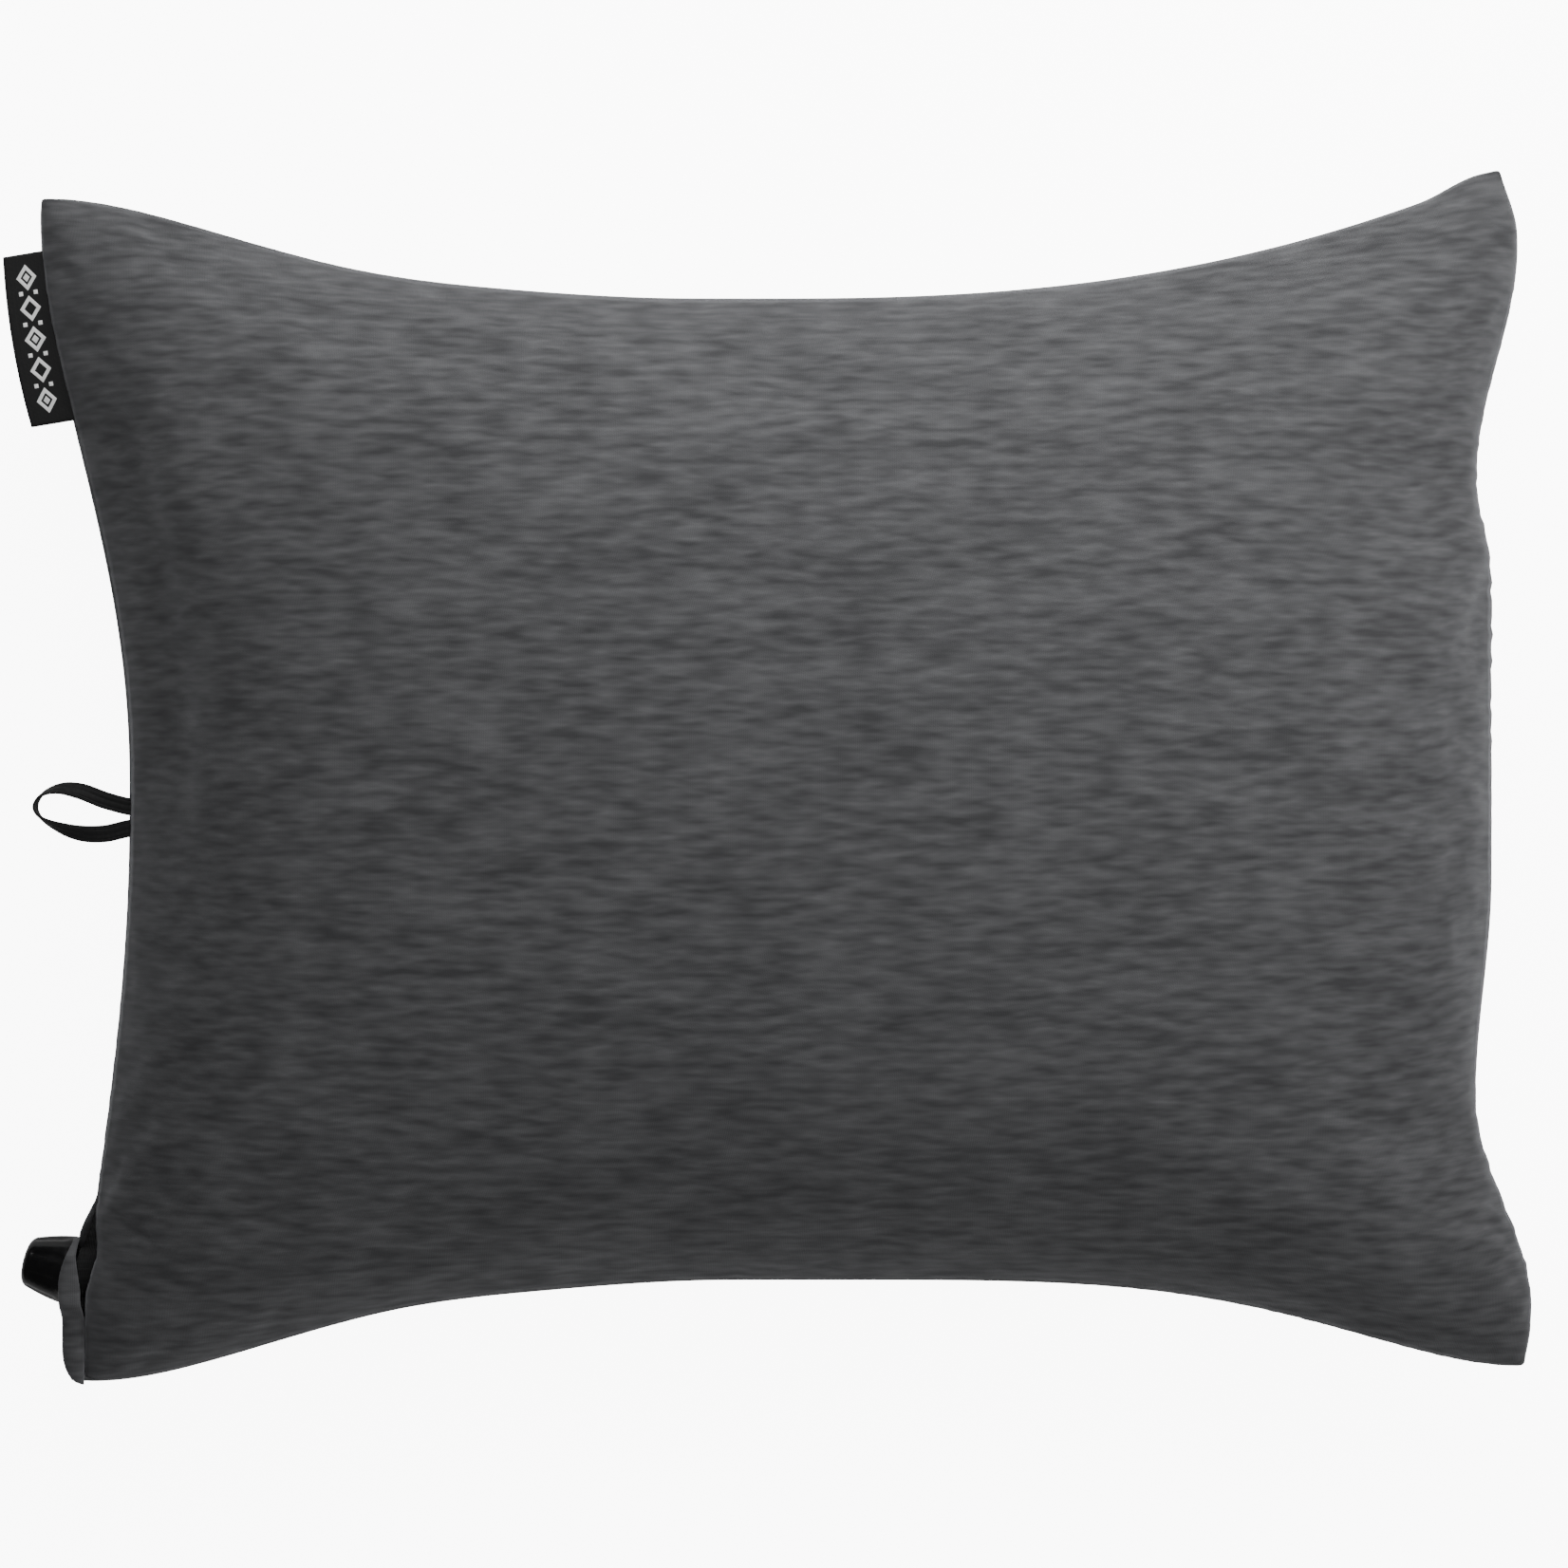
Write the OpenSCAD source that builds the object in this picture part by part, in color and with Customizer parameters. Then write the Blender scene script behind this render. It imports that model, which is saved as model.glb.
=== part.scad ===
// Camp pillow: a stretch knit cover over a foam topper and an air bladder.
// It lies face up. +Z is up, +X runs along its length, +Y across it.
// The origin is the middle of the flat patch that the pillow rests on.

/* [Pillow] */
// Length from corner to corner
pillow_w = 429; // [400:1:450]
// Depth from corner to corner
pillow_d = 350; // [330:1:370]
// Thickness of the inflated pillow
pillow_h = 102; // [96:1:110]
// Height of the seam between the front and back panels
seam_h = 46; // [44:1:48]

/* [Soft layers] */
// Thickness of the cover's knit fabric
fabric_t = 1.2; // [0.8:0.1:1.4]
// Thickness of the foam topper at the crown
foam_t = 20; // [16:1:24]
// Thickness of the bladder's coated film
film_t = 0.4; // [0.3:0.1:0.5]
// Number of webs that tie the two bladder films together
web_count = 3; // [3:1:3]

/* [Trim] */
// Length of the folded label along the seam
label_len = 49.6; // [40:0.1:55]
// How far the label stands out of the seam
label_out = 11.6; // [8:0.1:14]
// Width of the hang loop's webbing
loop_band = 5; // [4:0.5:6]

/* [Valve] */
// Largest radius of the twist cap
cap_r = 9.8; // [9:0.1:10]
// Length of the twist cap
cap_len = 14.4; // [13:0.1:16]
// How far the cap rises as it is twisted open
cap_rise = 4; // [3:0.5:4]

/* [Zip] */
// Length of the zip
zip_len = 156; // [120:1:156]
// Width of one zip tape
tape_w = 7.2; // [6:0.1:7.5]
// Length of the zip pull
pull_len = 14; // [10:1:15]

/* [Hidden] */
$fn = 48;

knit = "#4a4b4d";
webbing = "#151516";
nylon = "#1c1c1e";
film = "#c9c2a8";
foam = "#e8e0c8";

// Clearance between pieces that lie on each other
gap = 0.5;
// Half the gap between the two panels at the seam
seam_gap = 0.15;

// How far each corner sits in from the full length and depth:
// upper left, upper right, lower right, lower left
corner_in = [[0, 8.5], [7, 0], [0, 4.5], [11, 0]];
// How far the middle of each side is pulled in from the full length and depth
waist_top = 37.5;
waist_bottom = 30;
waist_left = 25;
waist_right = 10;

// A cross section is 1 - |t|^round_power, raised to crown_power, so it is
// nearly flat across the middle and steep where it meets the seam
round_power = 2.4;
crown_power = 0.6;
crown = pillow_h - seam_h;
// The back would bulge this far below the seam if nothing flattened it
belly = seam_h + 3;

// Height of the bladder's welded rim, halfway up the bladder
weld_h = 42;
bladder_top = pillow_h - fabric_t - foam_t - 3 * gap;
// The bladder ends this far short of the seam, as a share, and its corners
// are rounded off by a further share
bladder_share = 0.95;
corner_share = 0.05;
weld_share = 0.985;
weld_gap = 0.05;
foam_share = 0.93;

// The valve leaves through the lower left corner, tipped up a little
valve_at = [-206.5, -144.1, weld_h];
valve_tip_deg = 12;
stem_r = 5.5;
bore_r = 3.8;
chamber_r = 4.7;
seal_at = -8.5;

// The zip lies on the back panel's slope, just below the left side's seam
zip_at = [-178.6, -10, 33.2];
zip_face_deg = 216;
coil_w = 2.45;
coil_h = 1.6;
slider_y = -zip_len / 2 + 10;
slider_len = 9;
bar_r = 0.7;
bar_h = 5.3;

label_at = [-210.6, 127.3, seam_h];
label_deg = 9.5;
label_t = 1.2;
loop_t = 1;
// Middle line of the hang loop's webbing, from one end round to the other
loop_line = [[-190.2, -9], [-197, -7.2], [-204, -4.6], [-210, -3.8],
    [-215, -5.4], [-217.2, -9], [-215.4, -12.4], [-210.5, -15],
    [-204, -16.8], [-197, -16.9], [-190.2, -15.4]];
loop_steps = 4;

// ---- The pillow's shape -------------------------------------------------

function ease(t) = t * t * (3 - 2 * t);

// A side from its middle to its two corners: t runs from -1 to 1
function side(t, mid, low, high, power, eased) =
    let (a = pow(abs(t), power))
    mid + ((t < 0 ? low : high) - mid) * ((1 - eased) * a + eased * ease(a));

function top_y(u) = side(u, pillow_d / 2 - waist_top,
    pillow_d / 2 - corner_in[0].y, pillow_d / 2 - corner_in[1].y, 2.2, 0.4);
function bottom_y(u) = side(u, -pillow_d / 2 + waist_bottom,
    -pillow_d / 2 + corner_in[3].y, -pillow_d / 2 + corner_in[2].y, 2.2, 0.5);
function left_x(v) = side(v, -pillow_w / 2 + waist_left,
    -pillow_w / 2 + corner_in[3].x, -pillow_w / 2 + corner_in[0].x, 1.3, 1);
function right_x(v) = side(v, pillow_w / 2 - waist_right,
    pillow_w / 2 - corner_in[2].x, pillow_w / 2 - corner_in[1].x, 3, 0.3);

// Place of the panel coordinates u and v, each from -1 to 1, seam to seam
function plan(q) = [
    left_x(q.y) * (1 - q.x) / 2 + right_x(q.y) * (1 + q.x) / 2,
    bottom_y(q.x) * (1 - q.y) / 2 + top_y(q.x) * (1 + q.y) / 2];

function bulge(t) = pow(max(0, 1 - pow(abs(t), round_power)), crown_power);
function dome(q) = bulge(q.x) * bulge(q.y);

// The same square of coordinates, shrunk by a share, with rounded corners
function inner(a, b, share) = share
    * [a * (1 - corner_share * b * b), b * (1 - corner_share * a * a)];

// Outer faces of the two panels, which meet at the seam
function front_z(q) = seam_h + fabric_t + (crown - fabric_t) * dome(q);
function back_z(q) = seam_h - fabric_t - (belly - fabric_t) * dome(q);

// Heights of the bladder's films over the bladder's own coordinates
function film_up(a, b, share = 1) = weld_h + weld_gap
    + (bladder_top - weld_h) * dome([a, b] * share / weld_share);
function film_down(a, b, share = 1) = max(fabric_t + gap + film_t, weld_h - weld_gap
    - (weld_h - fabric_t - gap - film_t) * dome([a, b] * share / weld_share));

function spaced(low, high, i, n) = low + (high - low) * (1 + sin(90 * (2 * i / n - 1))) / 2;

// A closed sheet between two heights. at gives the panel coordinates of a
// point, and top and bottom its heights.
module sheet(at, top, bottom, a = [-1, 1], b = [-1, 1], n = [26, 20]) {
    grid = [for (j = [0:n.y], i = [0:n.x])
        [spaced(a[0], a[1], i, n.x), spaced(b[0], b[1], j, n.y)]];
    places = [for (g = grid) plan(at(g.x, g.y))];
    count = len(grid);
    upper = [for (k = [0:count - 1]) [places[k].x, places[k].y, top(grid[k].x, grid[k].y)]];
    lower = [for (k = [0:count - 1]) [places[k].x, places[k].y, bottom(grid[k].x, grid[k].y)]];
    row = n.x + 1;
    cells = [for (j = [0:n.y - 1], i = [0:n.x - 1]) j * row + i];
    up_faces = [for (k = cells, f = [[k, k + row, k + row + 1], [k, k + row + 1, k + 1]]) f];
    down_faces = [for (f = up_faces) [f[2], f[1], f[0]] + count * [1, 1, 1]];
    ring = concat([for (i = [0:n.x - 1]) i], [for (j = [0:n.y - 1]) j * row + n.x],
        [for (i = [n.x:-1:1]) n.y * row + i], [for (j = [n.y:-1:1]) j * row]);
    edge_faces = [for (k = [0:len(ring) - 1])
        let (p = ring[k], q = ring[(k + 1) % len(ring)])
        for (f = [[p + count, p, q], [p + count, q, q + count]]) f];
    polyhedron(concat(upper, lower), concat(up_faces, down_faces, edge_faces));
}

module on_valve() {
    translate(valve_at) rotate([0, 0, 180 - valve_tip_deg]) rotate([0, 90, 0]) children();
}

module on_zip() {
    translate(zip_at) rotate([0, zip_face_deg, 0]) children();
}

// Room that the cover leaves for the valve's stem
module valve_exit() {
    on_valve() translate([0, 0, -24]) cylinder(r = stem_r + 0.8, h = 30);
}

// Room that the bladder's rim and the foam leave for the valve's welded foot
module foot_room() {
    on_valve() translate([-4.2, -10.8, -29]) cube([8.4, 21.6, 12]);
}

// ---- Cover --------------------------------------------------------------

module cover_front_panel() {
    full = function(a, b) [a, b];
    color(knit) difference() {
        sheet(full, function(a, b) front_z([a, b]),
            function(a, b) front_z([a, b]) - fabric_t + seam_gap, n = [28, 22]);
        valve_exit();
    }
}

module cover_back_panel() {
    full = function(a, b) [a, b];
    color(knit) difference() {
        sheet(full, function(a, b) max(fabric_t, back_z([a, b]) + fabric_t - seam_gap),
            function(a, b) max(-2, back_z([a, b])), n = [28, 22]);
        translate([-pillow_w / 2, -pillow_d / 2, -5]) cube([pillow_w, pillow_d, 5]);
        valve_exit();
        on_zip() translate([-tape_w - 1.6, -zip_len / 2 - 2, -5])
            cube([2 * tape_w + 3.2, zip_len + 4, 12]);
    }
}

// A doubled strip of the knit that closes the corner over the valve's stem
module cover_corner_strip() {
    color(knit) translate([-203.9, 0, 0]) {
        translate([-5.2, -171.5, seam_h - 2]) cube([5.2, 17.1, 5]);
        translate([-2.6, -175.2, seam_h - 2]) cube([2.6, 4, 5]);
        translate([-2.6, -171.5, seam_h - 2]) cylinder(r = 2.6, h = 5);
        translate([-1.1, -154.6, seam_h + 2.3]) cube([1.1, 20, 1.4]);
    }
}

// ---- Zip ----------------------------------------------------------------

module tape(across) {
    color(nylon) on_zip() translate([across < 0 ? -1 - tape_w : 1, -zip_len / 2, -0.3])
        cube([tape_w, zip_len, 0.6]);
}

module coil(across) {
    profile_r = coil_h / 2;
    color(nylon) on_zip() translate([0, slider_y + slider_len / 2 - 6, 0.3]) rotate([-90, 0, 0])
        linear_extrude(zip_len / 2 - 3 - (slider_y + slider_len / 2 - 6))
            translate([across * (coil_w / 2 + 0.1), -profile_r]) {
                square([coil_w - coil_h, coil_h], center = true);
                for (s = [-1, 1]) translate([s * (coil_w - coil_h) / 2, 0]) circle(profile_r);
            }
}

module zip_tape_front() { tape(1); }
module zip_tape_back() { tape(-1); }
module zip_coil_front() { coil(1); }
module zip_coil_back() { coil(-1); }

module zip_top_stops() {
    color(nylon) on_zip() for (s = [-1, 1])
        translate([s * 2.2 - 1, slider_y - slider_len / 2 - 3.4, 0.3]) cube([2, 3, 1.4]);
}

module zip_bottom_stop() {
    color(nylon) on_zip() translate([-2.6, zip_len / 2 - 2.7, 0.3]) cube([5.2, 2.4, 1.8]);
}

module zip_slider() {
    color(nylon) on_zip() translate([0, slider_y, 0]) {
        // outer plate with its two rails
        translate([-4.2, -slider_len / 2, 2.2]) cube([8.4, slider_len, 1]);
        for (s = [-1, 1]) translate([s * 3.7 - 0.5, -slider_len / 2, 0.9]) cube([1, slider_len, 1.4]);
        // inner plate, and the post that parts the two coils
        translate([-4.2, -slider_len / 2, -1.5]) cube([8.4, slider_len, 0.8]);
        translate([-0.7, -slider_len / 2 + 0.5, -0.8]) cube([1.4, 2, 3.2]);
        // lugs and the bar that the pull swings on
        for (s = [-1, 1]) translate([s * 3.2 - 0.5, -1.2, 3]) cube([1, 2.4, bar_h - 2]);
        translate([-3.4, 0, bar_h]) rotate([0, 90, 0]) cylinder(r = bar_r, h = 6.8);
    }
}

module zip_pull() {
    eye_r = 1.9;
    width = 5;
    color(nylon) on_zip() translate([0, slider_y, bar_h]) difference() {
        union() {
            translate([-width / 2, 0, 0]) rotate([0, 90, 0]) cylinder(r = eye_r, h = width);
            translate([-width / 2, -0.7, 0]) cube([width, 1.4, pull_len - width / 2]);
            translate([0, 0.7, pull_len - width / 2]) rotate([90, 0, 0]) cylinder(r = width / 2, h = 1.4);
        }
        translate([-width, 0, 0]) rotate([0, 90, 0]) cylinder(r = bar_r + 0.06, h = 2 * width);
    }
}

// ---- Label, hang loop and care label ------------------------------------

// A woven label folded over into the seam, round where it bends
module side_label() {
    color(webbing) translate(label_at) rotate([0, 0, label_deg]) {
        translate([-label_out, -label_len / 2, -label_t / 2]) cube([label_out, label_len, label_t]);
        translate([0, label_len / 2, 0]) rotate([90, 0, 0]) cylinder(r = label_t / 2, h = label_len);
    }
}

// Catmull-Rom point on a line of points
function curve(line, t) =
    let (k = min(floor(t), len(line) - 2), s = t - k,
        p0 = line[max(k - 1, 0)], p1 = line[k], p2 = line[k + 1],
        p3 = line[min(k + 2, len(line) - 1)])
    0.5 * (2 * p1 + s * (p2 - p0) + s * s * (2 * p0 - 5 * p1 + 4 * p2 - p3)
        + s * s * s * (3 * p1 - p0 - 3 * p2 + p3));

// Flat webbing that leaves the seam face up, turns on edge round the bend
// and comes back beside itself
module hang_loop() {
    last = (len(loop_line) - 1) * loop_steps;
    rings = [for (k = [0:last])
        let (t = k / loop_steps,
            p = curve(loop_line, t),
            ahead = curve(loop_line, min(t + 0.05, len(loop_line) - 1)),
            behind = curve(loop_line, max(t - 0.05, 0)),
            along = (ahead - behind) / norm(ahead - behind),
            across = [-along.y, along.x, 0],
            turn = 90 * ease(max(0, 1 - abs(k - last / 2) / (last / 2 - 3))),
            wide = across * cos(turn) + [0, 0, 1] * sin(turn),
            thick = across * -sin(turn) + [0, 0, 1] * cos(turn))
        [for (c = [[-1, -1], [1, -1], [1, 1], [-1, 1]])
            [p.x, p.y, seam_h] + wide * c[0] * loop_band / 2 + thick * c[1] * loop_t / 2]];
    points = [for (r = rings, p = r) p];
    walls = [for (k = [0:last - 1], c = [0:3])
        let (a = 4 * k + c, b = 4 * k + (c + 1) % 4)
        for (f = [[a, b, b + 4], [a, b + 4, a + 4]]) f];
    ends = [[3, 2, 1], [3, 1, 0], 4 * last * [1, 1, 1] + [0, 1, 2], 4 * last * [1, 1, 1] + [0, 2, 3]];
    color(webbing) polyhedron(points, concat(walls, ends));
}

// A blank care label sewn into the right side's seam, inside the cover
module care_label() {
    full = function(a, b) [a, b];
    color("white") sheet(full,
        function(a, b) back_z([a, b]) + fabric_t + 1.1,
        function(a, b) back_z([a, b]) + fabric_t + 0.7,
        a = [0.82, 0.95], b = [-0.1, 0.14], n = [6, 4]);
}

// ---- Foam and bladder ---------------------------------------------------

module foam_topper() {
    at = function(a, b) inner(a, b, foam_share);
    color(foam) difference() {
        sheet(at,
            function(a, b) front_z(at(a, b)) - fabric_t - gap,
            function(a, b) film_up(a, b, foam_share / bladder_share) + film_t + gap,
            n = [24, 18]);
        foot_room();
    }
}

module bladder_top_film() {
    at = function(a, b) inner(a, b, bladder_share);
    color(film) difference() {
        sheet(at, function(a, b) film_up(a, b) + film_t,
            function(a, b) film_up(a, b), n = [24, 18]);
        foot_room();
    }
}

module bladder_bottom_film() {
    at = function(a, b) inner(a, b, bladder_share);
    color(film) difference() {
        sheet(at, function(a, b) film_down(a, b),
            function(a, b) film_down(a, b) - film_t, n = [24, 18]);
        foot_room();
    }
}

// An upright web inside the bladder, from the bottom film to the top film
module web(number) {
    b = 1.1 * (number - (web_count + 1) / 2) / web_count;
    half = 0.3;
    n = 18;
    row = [for (i = [0:n]) spaced(-0.78, 0.78, i, n)];
    points = [for (a = row, h = [film_down(a, b) + gap, film_up(a, b) - gap], s = [-half, half])
        let (p = plan(inner(a, b, bladder_share))) [p.x, p.y + s, h]];
    walls = [for (k = [0:n - 1], c = [[0, 2, 6, 4], [2, 3, 7, 6], [3, 1, 5, 7], [1, 0, 4, 5]])
        [for (e = c) 4 * k + e]];
    color(film) polyhedron(points, concat(walls, [[0, 1, 3, 2], 4 * n * [1, 1, 1, 1] + [0, 2, 3, 1]]));
}

module bladder_web_1() { web(1); }
module bladder_web_2() { web(2); }
module bladder_web_3() { web(3); }

// ---- Valve --------------------------------------------------------------

// Welded foot, stem and air way. The narrow bore holds the seal when the
// valve is shut, and the wide chamber lets air past it when it is open.
module valve_base() {
    foot_half = 10;
    foot_thick = 3.4;
    lens_r = (foot_half * foot_half + foot_thick * foot_thick) / (2 * foot_thick);
    color(nylon) on_valve() difference() {
        union() {
            translate([0, 0, -27]) intersection() {
                translate([lens_r - foot_thick, 0, 0]) cylinder(r = lens_r, h = 8, $fn = 120);
                translate([foot_thick - lens_r, 0, 0]) cylinder(r = lens_r, h = 8, $fn = 120);
            }
            translate([0, 0, -20]) cylinder(r = stem_r, h = 28);
        }
        translate([0, 0, -28]) cylinder(r = 2.4, h = 12);
        translate([0, 0, -17]) cylinder(r = bore_r, h = 40);
        translate([0, 0, seal_at + cap_rise - 1.8]) cylinder(r = chamber_r, h = 20);
    }
}

// Rod and head. The head carries the seal, and the rod's end turns in the cap.
module valve_plunger() {
    color(nylon) on_valve() {
        translate([0, 0, seal_at - 2.5]) cylinder(r = 3.5, h = 1.8);
        translate([0, 0, seal_at - 0.8]) cylinder(r = 2.35, h = 1.6);
        translate([0, 0, seal_at + 0.7]) cylinder(r = 3.5, h = 1.2);
        translate([0, 0, seal_at + 1.8]) cylinder(r = 1.4, h = cap_len + 4.5);
    }
}

module valve_o_ring() {
    color(nylon) on_valve() translate([0, 0, seal_at]) rotate_extrude()
        translate([3.06, 0]) circle(0.68);
}

// Stretch gusset that closes the cover round the stem
module valve_gusset() {
    color(webbing) on_valve() translate([0, 0, -9]) difference() {
        cylinder(r = stem_r + 0.65, h = 8);
        translate([0, 0, -1]) cylinder(r = stem_r + 0.1, h = 10);
    }
}

// Tapered twist cap, hollow over the stem, with air holes through its end
module valve_cap() {
    end_r = 6.9;
    color(nylon) on_valve() difference() {
        rotate_extrude($fn = 96) difference() {
            union() {
                polygon([[0, 0.2], [cap_r - 0.8, 0.2], [cap_r, 1], [cap_r, 3.4], [end_r + 0.2, cap_len - 2.6],
                    [0, cap_len - 2.6]]);
                square([end_r - 2.4, cap_len]);
                translate([end_r - 2.4, cap_len - 2.6]) circle(2.6);
            }
            translate([0, -1]) square([stem_r + 0.4, 10]);
            translate([-5, -5]) square([5, 25]);
        }
        translate([0, 0, 5]) cylinder(r = 1.45, h = cap_len - 7);
        for (k = [0:2]) rotate([0, 0, 120 * k]) translate([3.7, 0, 5]) cylinder(r = 1, h = cap_len);
    }
}

cover_front_panel();
cover_back_panel();
cover_corner_strip();
zip_tape_front();
zip_tape_back();
zip_coil_front();
zip_coil_back();
zip_top_stops();
zip_bottom_stop();
zip_slider();
zip_pull();
side_label();
hang_loop();
care_label();
foam_topper();
bladder_top_film();
bladder_bottom_film();
bladder_web_1();
bladder_web_2();
bladder_web_3();
valve_base();
valve_plunger();
valve_o_ring();
valve_cap();
valve_gusset();
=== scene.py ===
import math

import bmesh
import bpy
import numpy as np
from mathutils import Matrix, Vector
from mathutils.bvhtree import BVHTree


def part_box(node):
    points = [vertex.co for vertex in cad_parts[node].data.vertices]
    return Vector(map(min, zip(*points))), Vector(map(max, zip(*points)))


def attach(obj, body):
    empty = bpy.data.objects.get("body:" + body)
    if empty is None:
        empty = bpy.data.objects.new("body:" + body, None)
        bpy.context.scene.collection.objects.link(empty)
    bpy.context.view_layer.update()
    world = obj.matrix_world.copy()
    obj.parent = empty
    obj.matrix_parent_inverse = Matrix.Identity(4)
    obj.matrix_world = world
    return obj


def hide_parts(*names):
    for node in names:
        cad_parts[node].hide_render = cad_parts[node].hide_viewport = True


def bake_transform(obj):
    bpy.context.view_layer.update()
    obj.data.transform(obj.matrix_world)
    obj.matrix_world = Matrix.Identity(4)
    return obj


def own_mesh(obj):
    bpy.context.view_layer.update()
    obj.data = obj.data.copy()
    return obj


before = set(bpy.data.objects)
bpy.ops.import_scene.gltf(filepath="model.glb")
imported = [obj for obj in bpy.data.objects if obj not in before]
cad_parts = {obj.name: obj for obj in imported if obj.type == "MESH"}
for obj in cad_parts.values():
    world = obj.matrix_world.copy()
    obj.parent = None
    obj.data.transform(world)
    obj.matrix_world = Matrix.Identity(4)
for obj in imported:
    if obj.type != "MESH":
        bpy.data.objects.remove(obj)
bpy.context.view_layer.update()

bl_info = {
    "name": "Camp Pillow",
    "version": (1, 0, 0),
    "blender": (4, 5, 0),
    "location": "View3D > Sidebar > Camp Pillow",
    "description": "Knit camp pillow with its bladder, zip, valve, label and hang loop",
    "category": "Add Mesh",
}

MM = 0.001

# Heights of the seam and of the crown, and the places and turns of the fittings along the seam, in mm
SEAM_H = 46.0
CROWN_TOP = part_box("cover_front_panel")[1].z
CROWN_H = CROWN_TOP / MM
VALVE_AT = Vector((-206.5, -144.1, 42.0))
VALVE_TIP = math.radians(12)
ZIP_AT = Vector((-178.6, -10.0, 33.2))
ZIP_FACE = math.radians(216)
LABEL_AT = Vector((-210.6, 127.3, 46.0))
LABEL_TURN = math.radians(9.5)
# Middle line of the hang loop's webbing, from one end round to the other
LOOP_LINE = [(-190.2, -9), (-197, -7.2), (-204, -4.6), (-210, -3.8), (-215, -5.4), (-217.2, -9),
             (-215.4, -12.4), (-210.5, -15), (-204, -16.8), (-197, -16.9), (-190.2, -15.4)]


# ---- Shape of the pillow -------------------------------------------------

# Where the seams cross the pillow's middle lines, and where they end at its corners, in mm
TOP_MIDDLE, TOP_LEFT_Y, TOP_RIGHT_Y = 138.1, 167.8, 175.8
BOTTOM_MIDDLE, BOTTOM_LEFT_Y, BOTTOM_RIGHT_Y = -146.1, -176.2, -171.8
LEFT_MIDDLE, LEFT_TOP_X, LEFT_BOTTOM_X = -189.9, -216.4, -203.6
RIGHT_MIDDLE, RIGHT_TOP_Y = 204.6, 175.6
CORNER_BLUNT = 0.005
FILM_SHARE = 0.95       # how much of the cover's plan the bladder's films fill
FOAM_SHARE = 0.93       # and the foam
FILM_WELD = 0.985       # share of a film inside its welded rim
WELD_TOP, WELD_FOOT = 42.05, 41.95
FILM_RISE, FILM_FALL, FILM_LOWEST = 37.3, 39.9, 2.1

def step(t):
    """A smooth rise from 0 to 1."""
    t = min(max(t, 0.0), 1.0)
    return t * t * (3 - 2 * t)


def bell(t):
    """A smooth hump, 1 at 0 and 0 beyond 1 either side."""
    return step(1 - abs(t))


def mix(a, b, t):
    return a + (b - a) * t


def top_y(u):
    if u < 0:
        return mix(TOP_MIDDLE, TOP_LEFT_Y, step(abs(u) ** 1.85)) + 0.9 * bell((u + 0.36) / 0.25)
    return mix(TOP_MIDDLE, TOP_RIGHT_Y, u ** 2.5) + 2.0 * bell((u - 0.955) / 0.07)


def bottom_y(u):
    if u < 0:
        return mix(BOTTOM_MIDDLE, BOTTOM_LEFT_Y, step(abs(u) ** 1.84)) - 1.2 * bell((u + 0.36) / 0.25)
    return mix(BOTTOM_MIDDLE, BOTTOM_RIGHT_Y, step(u ** 2.1))


def left_x(v):
    if v < 0:
        return mix(LEFT_MIDDLE, LEFT_BOTTOM_X, step(abs(v) ** 1.25))
    return mix(LEFT_MIDDLE, LEFT_TOP_X, step(v ** 1.15))


def right_x(v):
    y = mix(BOTTOM_RIGHT_Y, RIGHT_TOP_Y, (1 + v) / 2)
    if y > 0:
        return (RIGHT_MIDDLE - 4.3 * step((y - 58) / 26) + 12.0 * step((y - 87) / 66)
                - 4.6 * step((y - 156) / 22))
    return (RIGHT_MIDDLE - 4.6 * step((-y - 30) / 62) + 16.4 * step((-y - 94) / 60)
            - 1.6 * step((-y - 158) / 16))


def plan(u, v):
    """Plan of the panel coordinates u and v, each from -1 to 1, seam to seam, with blunted corners."""
    u, v = u * (1 - CORNER_BLUNT * v ** 12), v * (1 - CORNER_BLUNT * u ** 12)
    x = left_x(v) * (1 - u) / 2 + right_x(v) * (1 + u) / 2
    y = bottom_y(u) * (1 - v) / 2 + top_y(u) * (1 + v) / 2
    return x, y


def bulge(t, roundness, power):
    """A hump, 1 at 0 and 0 at the seams, 1 either side."""
    return max(0.0, 1 - abs(t) ** roundness) ** power


def dome(u, v):
    return bulge(u, 2.5, 0.52) * bulge(v, 2.2, 0.5)


def inner(a, b, share):
    """The panel coordinates of a point on a layer inside the cover."""
    return share * a * (1 - 0.05 * b * b), share * b * (1 - 0.05 * a * a)


def film_swell(a, b):
    """How far a film swells from its weld, from 0 to 1."""
    return bulge(a / FILM_WELD, 2.4, 0.6) * bulge(b / FILM_WELD, 2.4, 0.6)


def film_up(a, b):
    return WELD_TOP + FILM_RISE * film_swell(a, b)


def film_down(a, b):
    return max(FILM_LOWEST, WELD_FOOT - FILM_FALL * film_swell(a, b))


def valve_matrix():
    """From the valve's own axes, with Z out along its stem, to the row frame, in mm."""
    turn = Matrix.Rotation(math.pi - VALVE_TIP, 4, "Z") @ Matrix.Rotation(math.pi / 2, 4, "Y")
    return Matrix.Translation(VALVE_AT) @ turn


def zip_matrix():
    """From the zip's own axes, with Z out of the cover, to the row frame, in mm."""
    return Matrix.Translation(ZIP_AT) @ Matrix.Rotation(ZIP_FACE, 4, "Y")


def label_matrix():
    return Matrix.Translation(LABEL_AT) @ Matrix.Rotation(LABEL_TURN, 4, "Z")


# ---- Mesh helpers --------------------------------------------------------

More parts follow.
